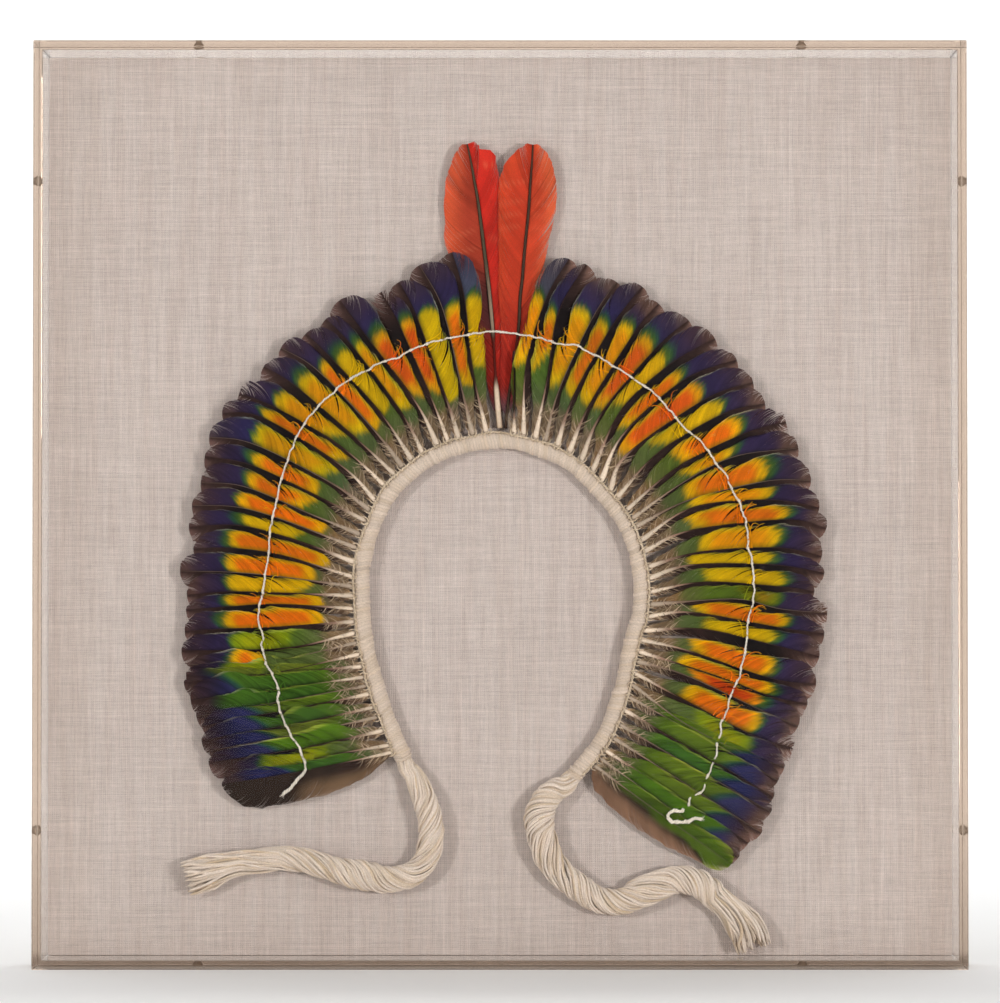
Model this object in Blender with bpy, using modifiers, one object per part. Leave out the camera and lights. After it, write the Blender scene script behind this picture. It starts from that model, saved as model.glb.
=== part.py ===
"""Feathered headdress in a clear display box.

Units are metres, +Z is up. The origin is the middle of the box's footprint,
on the surface that the box stands on. The front of the box, and the face of
the headdress, look along -Y.

The box is a five-sided clear cover with a cloth-covered board screwed in from
the sides. On the board lies the headdress: a wound band bent to a horseshoe,
a lashing along its outer edge that ties the quills on, two fans of shingled
wing feathers, two long red tail feathers behind them at the top, a thread
through the feathers at mid length, and a tie cord at each end of the band.
"""
import math

import bmesh
import bpy
import numpy as np
from mathutils import Matrix, Vector

MM = 0.001
GAP = 0.3 * MM                    # clearance between pieces that meet

# Display box
BOX_W = 609.6 * MM
BOX_H = 606.0 * MM
BOX_D = 64.0 * MM
WALL_T = 6.0 * MM                 # side walls
FRONT_T = 5.0 * MM                # front sheet
BOARD_T = 14.0 * MM               # cloth-covered board, flush with the back
FRONT_Y = -BOX_D / 2
BACK_Y = BOX_D / 2
BOARD_Y = BACK_Y - BOARD_T        # face of the cloth
SCREW_X = 199.0 * MM              # screws through the top and bottom walls
SCREW_Z = 214.0 * MM              # screws through the side walls, from mid height
SCREW_HEAD_D = 7.0 * MM
SCREW_HEAD_H = 2.6 * MM
SCREW_SHANK_D = 3.6 * MM
SCREW_L = 22.0 * MM

# Headdress; polar tables are about the crown's middle, the angle measured
# from straight up and positive towards +X
CROWN_Z = 240.0 * MM
BAND_R = 5.5 * MM                 # half the thickness of the wound band
BAND_LIFT = 7.5 * MM              # middle of the band above the cloth
LASH_R = 1.2 * MM
LASH_ANGLE = math.radians(50)     # where the lashing sits round the band
QUILL_OUT = BAND_R + 1.3 * MM     # quills start this far out of the band
FEATHER_T = 1.2 * MM
SHINGLE = 0.9 * MM                # step from one feather down to the next
RED_T = 0.9 * MM
THREAD_R = 1.0 * MM
THREAD_LIFT = 13.4 * MM
CORD_R = 8.5 * MM
CORD_START_R = 5.5 * MM
CORD_LIFT = 0.5 * MM              # cord's underside above the cloth

# angle (degrees), radius (mm) along the middle of the band
BAND_PATH = [
    (-148.2, 121.2), (-139, 110), (-130, 102.6), (-117, 95.6), (-103, 92.4),
    (-90, 91.2), (-73, 94.5), (-57, 98.2), (-42, 102.6), (-22, 105.2),
    (0, 106.0), (22, 103), (37, 99), (57, 96.9), (77, 94.7), (94, 93),
    (104, 91.2), (115, 93.3), (127, 100), (140, 110.6), (149, 118),
    (156.9, 124.9),
]

# feather number, angle of its quill at the band, angle and radius of its tip
FAN_LEFT = [
    (1, -4.6, -8.6, 232.8), (5, -21.9, -27.5, 225.4), (9, -39.7, -45.7, 220.1),
    (13, -58.8, -65.1, 217.4), (17, -80.1, -81.0, 205.7),
    (21, -98.4, -95.6, 209.4), (25, -116.0, -105.1, 215.8),
    (29, -131.2, -115.9, 217.7), (33, -145.8, -124.5, 220.1),
]
FAN_RIGHT = [
    (0, 4.4, 7.9, 225.8), (4, 20.1, 24.8, 228.2), (8, 39.6, 46.1, 223.5),
    (12, 57.8, 64.8, 221.7), (16, 76.9, 83.0, 214.8), (20, 95.7, 95.3, 215.5),
    (24, 114.6, 112.5, 213.7), (28, 132.6, 126.2, 222.5),
    (33, 151.1, 139.4, 231.3),
]
LEFT_GROUPS = [5, 6, 5, 6, 5, 6]
RIGHT_GROUPS = [6, 5, 6, 5, 6, 6]

# fraction of the length, height above the cloth (mm), width of the free
# outer vane of the top feathers, of the free inner vane of the last left and
# of the last right feather (mm)
VANE_STATIONS = [
    (0.0, 7.5, 2.5, 2.0, 4.0),
    (0.2, 9.0, 4.0, 14.0, 14.0),
    (0.6, 11.0, 5.5, 15.5, 12.5),
    (1.0, 9.5, 6.0, 10.0, 7.0),
]
# place across a feather (0 raised rim, 1 sunk rim), share of its length
TIP_SHAPE = [(0.0, 0.90), (0.25, 0.975), (0.5, 1.0), (0.75, 0.975), (1.0, 0.90)]

# long red tail feathers: x and height (mm) along the shaft, height above the
# cloth, vane width to -X and to +X (mm)
RED_LEFT = [
    (-0.2, 354, 3.4, 1.2, 1.2), (-2.5, 382, 3.4, 3, 3),
    (-4.5, 415, 3.4, 8, 6), (-7.2, 445, 3.6, 18, 11),
    (-11.3, 479, 4.6, 24, 13), (-15.7, 511, 6.2, 22, 13.5),
    (-18.5, 528, 7.0, 16, 15), (-20.5, 537, 7.6, 9, 13),
    (-21.7, 542.5, 8.0, 2.5, 6),
]
RED_RIGHT = [
    (3.6, 354, 4.7, 1.2, 1.2), (6.7, 382, 4.7, 3, 3),
    (12.0, 417, 4.7, 8, 6), (13.3, 440, 4.9, 14, 8),
    (16.6, 472, 5.9, 17, 11), (19.2, 505, 7.5, 19.5, 17),
    (20.8, 528, 8.4, 14.5, 13.5), (21.5, 537, 8.9, 7, 7),
    (21.9, 542, 9.3, 2.5, 2.5),
]

# angle (degrees), radius (mm) along the thread through the feathers
THREAD_PATH = [
    (-132, 191), (-130.5, 170), (-121, 162.4), (-111.5, 157), (-95, 159),
    (-83.7, 156), (-63, 164), (-43, 176), (-25, 175.6), (0, 178), (17, 176),
    (36, 170), (54, 168.7), (72, 170.6), (86, 168), (102, 166), (115, 165),
    (127, 176), (137, 184),
]

# x and height (mm) along the tie cords, after the end of the band
CORD_LEFT = [
    (-56.0, 123.8), (-47.4, 102.0), (-45.4, 80.9), (-53.7, 63.1),
    (-71.8, 56.5), (-90.3, 59.2), (-108.8, 63.1), (-123.3, 67.7),
    (-139.1, 70.4), (-157.6, 69.0), (-175.4, 66.4), (-193.9, 60.5),
    (-205.1, 57.2),
]
CORD_RIGHT = [
    (35.5, 114.5), (28.5, 106.0), (25.8, 95.4), (29.8, 77.6), (37.7, 63.1),
    (50.9, 51.9), (64.8, 43.3), (79.3, 42.0), (93.1, 47.9), (107.7, 54.0),
    (118.2, 56.5), (130.7, 54.0), (141.3, 46.0), (153.2, 35.5),
    (162.7, 23.5), (167.0, 13.0),
]

# Colours, roughness, metallic
ACRYLIC = ("clear_acrylic", (0.86, 0.90, 0.88), 0.05, 0.0)
LINEN = ("linen", (0.60, 0.53, 0.47), 0.95, 0.0)
STEEL = ("screw_steel", (0.35, 0.33, 0.30), 0.35, 1.0)
COTTON = ("wound_cotton", (0.72, 0.65, 0.53), 0.9, 0.0)
TWINE = ("lashing_twine", (0.56, 0.47, 0.36), 0.9, 0.0)
THREAD = ("cotton_thread", (0.84, 0.81, 0.75), 0.85, 0.0)
CORD = ("cotton_cord", (0.78, 0.73, 0.64), 0.9, 0.0)
GREEN = ("parrot_feathers", (0.12, 0.19, 0.03), 0.55, 0.0)
RED = ("macaw_feathers", (0.60, 0.05, 0.02), 0.5, 0.0)


# ---------------------------------------------------------------- set-up

for old in list(bpy.data.objects):
    bpy.data.objects.remove(old, do_unlink=True)

parts = bpy.data.collections.new("feathered_headdress")
cutters = bpy.data.collections.new("cutters")
bpy.context.scene.collection.children.link(parts)
bpy.context.scene.collection.children.link(cutters)


def material(spec):
    name, colour, roughness, metallic = spec
    mat = bpy.data.materials.get(name)
    if mat is None:
        mat = bpy.data.materials.new(name)
        mat.use_nodes = True
        shader = mat.node_tree.nodes["Principled BSDF"]
        shader.inputs["Base Color"].default_value = (*colour, 1.0)
        shader.inputs["Roughness"].default_value = roughness
        shader.inputs["Metallic"].default_value = metallic
    return mat


def place(obj, spec=None, collection=None):
    for coll in list(obj.users_collection):
        coll.objects.unlink(obj)
    (collection or parts).objects.link(obj)
    if spec is not None:
        obj.data.materials.clear()
        obj.data.materials.append(material(spec))
    return obj


def box(name, size, centre, spec=None, collection=None):
    bpy.ops.mesh.primitive_cube_add(size=1.0, location=centre)
    obj = bpy.context.object
    obj.name = name
    obj.data.name = name
    obj.data.transform(Matrix.Diagonal((*size, 1.0)))
    return place(obj, spec, collection)


def cut(obj, tool):
    tool.hide_render = True
    tool.display_type = 'WIRE'
    mod = obj.modifiers.new("cut_" + tool.name, 'BOOLEAN')
    mod.operation = 'DIFFERENCE'
    mod.object = tool


# ---------------------------------------------------------------- curves

def polar(angle_deg, radius_mm):
    """A point on the crown's plane, as (x, z) in metres."""
    a = math.radians(angle_deg)
    return Vector((math.sin(a) * radius_mm * MM,
                   CROWN_Z + math.cos(a) * radius_mm * MM))


def smooth(points, step):
    """Catmull-Rom curve through the points, read off at even steps."""
    p = [np.array(v, dtype=float) for v in points]
    p = [2 * p[0] - p[1]] + p + [2 * p[-1] - p[-2]]
    fine = []
    for i in range(1, len(p) - 2):
        for k in range(16):
            t = k / 16
            fine.append(0.5 * (2 * p[i] + (p[i + 1] - p[i - 1]) * t
                               + (2 * p[i - 1] - 5 * p[i] + 4 * p[i + 1] - p[i + 2]) * t ** 2
                               + (3 * p[i] - p[i - 1] - 3 * p[i + 1] + p[i + 2]) * t ** 3))
    fine.append(p[-2])
    fine = np.array(fine)
    run = np.concatenate([[0], np.cumsum(np.linalg.norm(np.diff(fine, axis=0), axis=1))])
    count = max(2, int(round(run[-1] / step)) + 1)
    at = np.linspace(0, run[-1], count)
    return np.column_stack([np.interp(at, run, fine[:, k]) for k in range(fine.shape[1])])


def outward(path):
    """Unit normals of a path of (x, z) rows, pointing away from the crown."""
    tangent = np.gradient(path, axis=0)
    normal = np.column_stack([tangent[:, 1], -tangent[:, 0]])
    normal /= np.linalg.norm(normal, axis=1)[:, None]
    away = path - np.array([0.0, CROWN_Z])
    normal[np.sum(normal * away, axis=1) < 0] *= -1
    return normal


def tube(name, points, radii, spec, resolution):
    """A filled tube on a poly spline; one radius for each point."""
    curve = bpy.data.curves.new(name, 'CURVE')
    curve.dimensions = '3D'
    curve.bevel_depth = 1.0
    curve.bevel_resolution = resolution
    curve.use_fill_caps = True
    spline = curve.splines.new('POLY')
    spline.points.add(len(points) - 1)
    for point, xyz, radius in zip(spline.points, points, radii):
        point.co = (*xyz, 1.0)
        point.radius = radius
    spline.use_smooth = True
    obj = bpy.data.objects.new(name, curve)
    return place(obj, spec)


def lift_path(path_xz, lift):
    """Rows of (x, z) set at a height above the cloth."""
    lift = np.broadcast_to(lift, len(path_xz))
    return [(x, BOARD_Y - h, z) for (x, z), h in zip(path_xz, lift)]


# ---------------------------------------------------------------- box

cover = box("display_cover", (BOX_W, BOX_D, BOX_H), (0, 0, BOX_H / 2), ACRYLIC)
hollow = box("cover_hollow",
             (BOX_W - 2 * WALL_T, BOX_D, BOX_H - 2 * WALL_T),
             (0, FRONT_T, BOX_H / 2), collection=cutters)
cut(cover, hollow)

board = box("backing_board",
            (BOX_W - 2 * WALL_T - 2 * GAP, BOARD_T, BOX_H - 2 * WALL_T - 2 * GAP),
            (0, BACK_Y - BOARD_T / 2, BOX_H / 2), LINEN)


def screw_profile(head_d, head_h, shank_d, length, name, spec, collection):
    """A countersunk screw turned about its own Z, its head's face at z = 0."""
    mesh = bpy.data.meshes.new(name)
    rows = [(0, 0), (head_d / 2, 0), (head_d / 2, -0.5 * MM),
            (shank_d / 2, -head_h), (shank_d / 2, -length + 1.5 * MM),
            (0, -length)]
    mesh.from_pydata([(x, 0, z) for x, z in rows],
                     [(i, i + 1) for i in range(len(rows) - 1)], [])
    obj = bpy.data.objects.new(name, mesh)
    place(obj, spec, collection)
    turn = obj.modifiers.new("turn", 'SCREW')
    turn.steps = turn.render_steps = 12
    turn.use_merge_vertices = True
    turn.merge_threshold = 0.0001 * MM
    return obj


HALF_H = BOX_H / 2
SUNK = 0.3 * MM                   # heads lie this far inside the wall's face
BOARD_MID = BACK_Y - BOARD_T / 2
# x, z of the head's face, and its turn about Y
SCREWS = [
    (-SCREW_X, BOX_H - SUNK, 0), (SCREW_X, BOX_H - SUNK, 0),
    (-SCREW_X, SUNK, 180), (SCREW_X, SUNK, 180),
    (-BOX_W / 2 + SUNK, HALF_H + SCREW_Z, -90),
    (-BOX_W / 2 + SUNK, HALF_H - SCREW_Z, -90),
    (BOX_W / 2 - SUNK, HALF_H + SCREW_Z, 90),
    (BOX_W / 2 - SUNK, HALF_H - SCREW_Z, 90),
]
for n, (x, z, turn) in enumerate(SCREWS, 1):
    where = Matrix.Translation((x, BOARD_MID, z)) @ Matrix.Rotation(math.radians(turn), 4, 'Y')
    screw = screw_profile(SCREW_HEAD_D, SCREW_HEAD_H, SCREW_SHANK_D, SCREW_L,
                          "cover_screw_%d" % n, STEEL, parts)
    screw.matrix_world = where
    for axis in (0, 1):
        arm = [0.9 * MM, 0.9 * MM, 2.6 * MM]
        arm[axis] = 3.8 * MM
        blade = box("driver_%d_%d" % (n, axis), arm, (0, 0, 0), collection=cutters)
        blade.matrix_world = where
        cut(screw, blade)
    grow = 2 * GAP
    hole = screw_profile(SCREW_HEAD_D + grow, SCREW_HEAD_H + GAP, SCREW_SHANK_D + grow,
                         SCREW_L + 1.0 * MM, "screw_hole_%d" % n, None, cutters)
    hole.matrix_world = where
    bpy.ops.mesh.primitive_cylinder_add(vertices=12, radius=SCREW_HEAD_D / 2 + GAP,
                                        depth=2 * MM)
    mouth = place(bpy.context.object, collection=cutters)
    mouth.name = "screw_mouth_%d" % n
    mouth.matrix_world = where @ Matrix.Translation((0, 0, 0.9 * MM))
    cut(cover, hole)
    cut(cover, mouth)
    cut(board, hole)

# ---------------------------------------------------------------- band

band_xz = smooth([polar(a, r) for a, r in BAND_PATH], 10 * MM)
tube("crown_band", lift_path(band_xz, BAND_LIFT), [BAND_R] * len(band_xz), COTTON, 3)

lash_reach = BAND_R + GAP + LASH_R + 0.1 * MM
lash_xz = (band_xz + outward(band_xz) * lash_reach * math.cos(LASH_ANGLE))[1:-1]
tube("quill_lashing", lift_path(lash_xz, BAND_LIFT + lash_reach * math.sin(LASH_ANGLE)),
     [LASH_R] * len(lash_xz), TWINE, 2)


# ---------------------------------------------------------------- feathers

def at_angle(path, angle):
    """Where a path round the crown passes an angle, moved out by QUILL_OUT."""
    angles = np.degrees(np.arctan2(path[:, 0], path[:, 1] - CROWN_Z))
    moved = path + outward(path) * QUILL_OUT
    return np.array([np.interp(angle, angles, moved[:, k]) for k in range(2)])


band_fine = smooth([polar(a, r) for a, r in BAND_PATH], 2 * MM)


def fan(table):
    """Base and tip of every feather in a fan, between the table's rows."""
    rows = np.array(table, dtype=float)
    found = {}
    for number in range(int(rows[0, 0]), int(rows[-1, 0]) + 1):
        quill, tip_a, tip_r = [np.interp(number, rows[:, 0], rows[:, k]) for k in (1, 2, 3)]
        found[number] = (at_angle(band_fine, quill), np.array(polar(tip_a, tip_r)))
    return found


def sheet(name, columns, thickness, spec):
    """A thin closed plate lofted through columns of (x, y, z) stations."""
    bm = bmesh.new()
    front = [[bm.verts.new(v) for v in col] for col in columns]
    back = [[bm.verts.new((v[0], v[1] + thickness, v[2])) for v in col] for col in columns]
    last_c, last_s = len(columns) - 1, len(columns[0]) - 1
    for c in range(last_c):
        for s in range(last_s):
            bm.faces.new((front[c][s], front[c + 1][s], front[c + 1][s + 1], front[c][s + 1]))
            bm.faces.new((back[c][s], back[c][s + 1], back[c + 1][s + 1], back[c + 1][s]))
        for s in (0, last_s):
            bm.faces.new((front[c][s], back[c][s], back[c + 1][s], front[c + 1][s]))
    for c in (0, last_c):
        for s in range(last_s):
            bm.faces.new((front[c][s], front[c][s + 1], back[c][s + 1], back[c][s]))
    bmesh.ops.recalc_face_normals(bm, faces=bm.faces)
    mesh = bpy.data.meshes.new(name)
    bm.to_mesh(mesh)
    bm.free()
    obj = bpy.data.objects.new(name, mesh)
    return place(obj, spec)


def feather_group(name, feathers, numbers, side, free_inner):
    """Shingled feathers as one plate: every feather starts on a raised rim
    towards the top of the fan and sinks under the rim of the next one."""
    stations = np.array(VANE_STATIONS)

    def shaft(number, f):
        base, tip = feathers[number]
        return base + (tip - base) * f

    def rim(number, neighbour, f, widths, sign):
        """Edge of a feather: half-way to its neighbour, or its free width."""
        base, tip = feathers[number]
        down = np.array([tip[1] - base[1], base[0] - tip[0]]) * side
        down /= np.linalg.norm(down)
        if neighbour in feathers:
            edge = (shaft(number, f) + shaft(neighbour, f)) / 2
        else:
            edge = shaft(number, f) + down * sign * np.interp(f, stations[:, 0], widths) * MM
        return edge - down * sign * 0.25 * MM

    columns = []
    for number in numbers:
        for across, reach in TIP_SHAPE:
            column = []
            for station, height in stations[:, :2]:
                f = station * reach
                mid = shaft(number, f)
                if across <= 0.5:
                    top = rim(number, number - 1, f, stations[:, 2], -1)
                    row = top + (mid - top) * across * 2
                else:
                    low = rim(number, number + 1, f, stations[:, free_inner], 1)
                    row = mid + (low - mid) * (across * 2 - 1)
                sink = (across - 0.5) * SHINGLE
                column.append((row[0], BOARD_Y - height * MM + sink - FEATHER_T / 2, row[1]))
            columns.append(column)
    return sheet(name, columns, FEATHER_T, GREEN)


for side_name, table, groups, side, free_inner in (
        ("left", FAN_LEFT, LEFT_GROUPS, -1, 3), ("right", FAN_RIGHT, RIGHT_GROUPS, 1, 4)):
    feathers = fan(table)
    first = min(feathers)
    for n, count in enumerate(groups, 1):
        feather_group("feathers_%s_%d" % (side_name, n), feathers,
                      range(first, first + count), side, free_inner)
        first += count

for name, rows in (("red_feather_left", RED_LEFT), ("red_feather_right", RED_RIGHT)):
    columns = []
    for share in (-1.0, -0.5, 0.0, 0.5, 1.0):
        column = []
        for x, z, height, to_left, to_right in rows:
            width = to_left if share < 0 else to_right
            droop = 0.4 * abs(share)
            column.append(((x + share * width) * MM,
                           BOARD_Y - (height - droop) * MM - RED_T / 2, z * MM))
        columns.append(column)
    sheet(name, columns, RED_T, RED)

# ---------------------------------------------------------------- thread, cords

thread_xz = smooth([polar(a, r) for a, r in THREAD_PATH], 12 * MM)
tube("feather_thread", lift_path(thread_xz, THREAD_LIFT), [THREAD_R] * len(thread_xz),
     THREAD, 1)


def tie_cord(name, end, before, rows):
    """A cord that carries on from the end of the band, lying on the cloth."""
    ahead = (end - before) / np.linalg.norm(end - before)
    route = [end + ahead * 0.9 * MM, end + ahead * 8.9 * MM]
    route += [np.array(r) * MM for r in rows]
    path = smooth(route, 8 * MM)
    run = np.linspace(0, 1, len(path)) * 8 * MM * (len(path) - 1)
    radii = CORD_START_R + (CORD_R - CORD_START_R) * np.clip(run / (30 * MM), 0, 1)
    lift = np.where(run < 12 * MM, BAND_LIFT, radii + CORD_LIFT)
    tube(name, lift_path(path, lift), radii, CORD, 3)


tie_cord("tie_cord_left", band_fine[0], band_fine[1], CORD_LEFT)
tie_cord("tie_cord_right", band_fine[-1], band_fine[-2], CORD_RIGHT)

# ---------------------------------------------------------------- shading

bpy.context.view_layer.update()
for obj in parts.objects:
    if obj.type == 'MESH':
        obj.data.shade_smooth()
        obj.data.set_sharp_from_angle(angle=math.radians(30))
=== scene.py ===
"""Looks of the feathered headdress in its display box.

Metres, +Z up, front towards -Y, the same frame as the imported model. Tables
are in millimetres; polar rows are about the crown's middle, the angle in
degrees from straight up and positive towards +X.
"""
import math

import bmesh
import bpy
import numpy as np
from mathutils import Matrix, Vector


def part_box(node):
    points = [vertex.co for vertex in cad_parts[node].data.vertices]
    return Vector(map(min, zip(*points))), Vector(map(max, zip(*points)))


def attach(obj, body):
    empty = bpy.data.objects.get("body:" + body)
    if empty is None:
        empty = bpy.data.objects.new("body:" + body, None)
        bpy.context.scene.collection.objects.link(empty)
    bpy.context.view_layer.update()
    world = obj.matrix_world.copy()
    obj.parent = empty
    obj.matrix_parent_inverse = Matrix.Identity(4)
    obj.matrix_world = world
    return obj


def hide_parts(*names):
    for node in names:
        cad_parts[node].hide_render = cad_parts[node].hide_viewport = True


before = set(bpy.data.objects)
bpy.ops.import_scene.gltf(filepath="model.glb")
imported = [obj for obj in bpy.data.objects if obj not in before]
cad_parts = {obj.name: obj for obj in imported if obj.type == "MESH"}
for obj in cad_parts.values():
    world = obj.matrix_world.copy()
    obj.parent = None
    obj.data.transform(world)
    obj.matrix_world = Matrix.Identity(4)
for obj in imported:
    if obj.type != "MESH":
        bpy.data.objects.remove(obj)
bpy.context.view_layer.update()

MM = 0.001

COVER_LO, COVER_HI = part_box("display_cover")
BOARD_LO, BOARD_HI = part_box("backing_board")
BOARD_Y = BOARD_LO.y                  # face of the cloth
FRONT_Y = COVER_LO.y
CROWN_Z = 240.0                       # mm, middle of the crown above the floor
BAND_R = 5.5
BAND_LIFT = 7.5
LASH_OUT, LASH_UP = 4.6, 12.3         # lashing: out from the band's middle, above the cloth
THREAD_LIFT = 12.9


# ------------------------------------------------------------------ helpers

def rng_for(*seed):
    return np.random.default_rng(abs(hash_numbers(seed)))


def hash_numbers(seed):
    value = 1469598103
    for s in seed:
        value = (value * 16777619 + int(s * 1000) + 97) % 2147483647
    return value


def lin(r, g, b):
    """An sRGB colour, 0 to 255, as a linear one."""
    c = np.array([r, g, b], dtype=float) / 255
    return np.where(c <= 0.04045, c / 12.92, ((c + 0.055) / 1.055) ** 2.4)


def rgba(c):
    return (float(c[0]), float(c[1]), float(c[2]), 1.0)


def smoothstep(a, b, x):
    t = np.clip((x - a) / (b - a), 0, 1)
    return t * t * (3 - 2 * t)


def mix(a, b, t):
    t = np.asarray(t)[..., None]
    return a * (1 - t) + b * t


def polar(angle, radius):
    a = math.radians(angle)
    return np.array([math.sin(a) * radius, CROWN_Z + math.cos(a) * radius])


def smooth(points, step):
    """Catmull-Rom curve through the points, read off at even steps."""
    p = [np.array(v, dtype=float) for v in points]
    p = [2 * p[0] - p[1]] + p + [2 * p[-1] - p[-2]]
    fine = []
    for i in range(1, len(p) - 2):
        for k in range(16):
            t = k / 16
            fine.append(0.5 * (2 * p[i] + (p[i + 1] - p[i - 1]) * t
                               + (2 * p[i - 1] - 5 * p[i] + 4 * p[i + 1] - p[i + 2]) * t ** 2
                               + (3 * p[i] - p[i - 1] - 3 * p[i + 1] + p[i + 2]) * t ** 3))
    fine.append(p[-2])
    fine = np.array(fine)
    run = run_of(fine)
    count = max(2, int(round(run[-1] / step)) + 1)
    return at_run(fine, run, np.linspace(0, run[-1], count))


def run_of(path):
    return np.concatenate([[0], np.cumsum(np.linalg.norm(np.diff(path, axis=0), axis=1))])


def at_run(path, run, at):
    return np.column_stack([np.interp(at, run, path[:, k]) for k in range(path.shape[1])])


def outward(path):
    """Unit normals of an (x, z) path, pointing away from the crown's middle."""
    tangent = np.gradient(path, axis=0)
    normal = np.column_stack([tangent[:, 1], -tangent[:, 0]])
    normal /= np.linalg.norm(normal, axis=1)[:, None]
    away = path - np.array([0.0, CROWN_Z])
    normal[np.sum(normal * away, axis=1) < 0] *= -1
    return normal


def wander(rng, count, period, octaves=2):
    """Smooth noise of about unit size, one value a step."""
    total = np.zeros(count)
    for o in range(octaves):
        knots = max(4, int(count / max(period / 2 ** o, 1)) + 4)
        values = rng.normal(0, 1, knots)
        x = np.linspace(1, knots - 2, count)
        i = np.floor(x).astype(int)
        t = x - i
        t = t * t * (3 - 2 * t)
        total += (values[i] * (1 - t) + values[np.minimum(i + 1, knots - 1)] * t) / 2 ** o
    return total


def lifted(xz, up):
    """(x, z) rows in mm at a height above the cloth, as world metres."""
    xz = np.asarray(xz, dtype=float)
    up = np.broadcast_to(up, xz.shape[:-1])
    return np.stack([xz[..., 0] * MM, BOARD_Y - up * MM, xz[..., 1] * MM], axis=-1)


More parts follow.
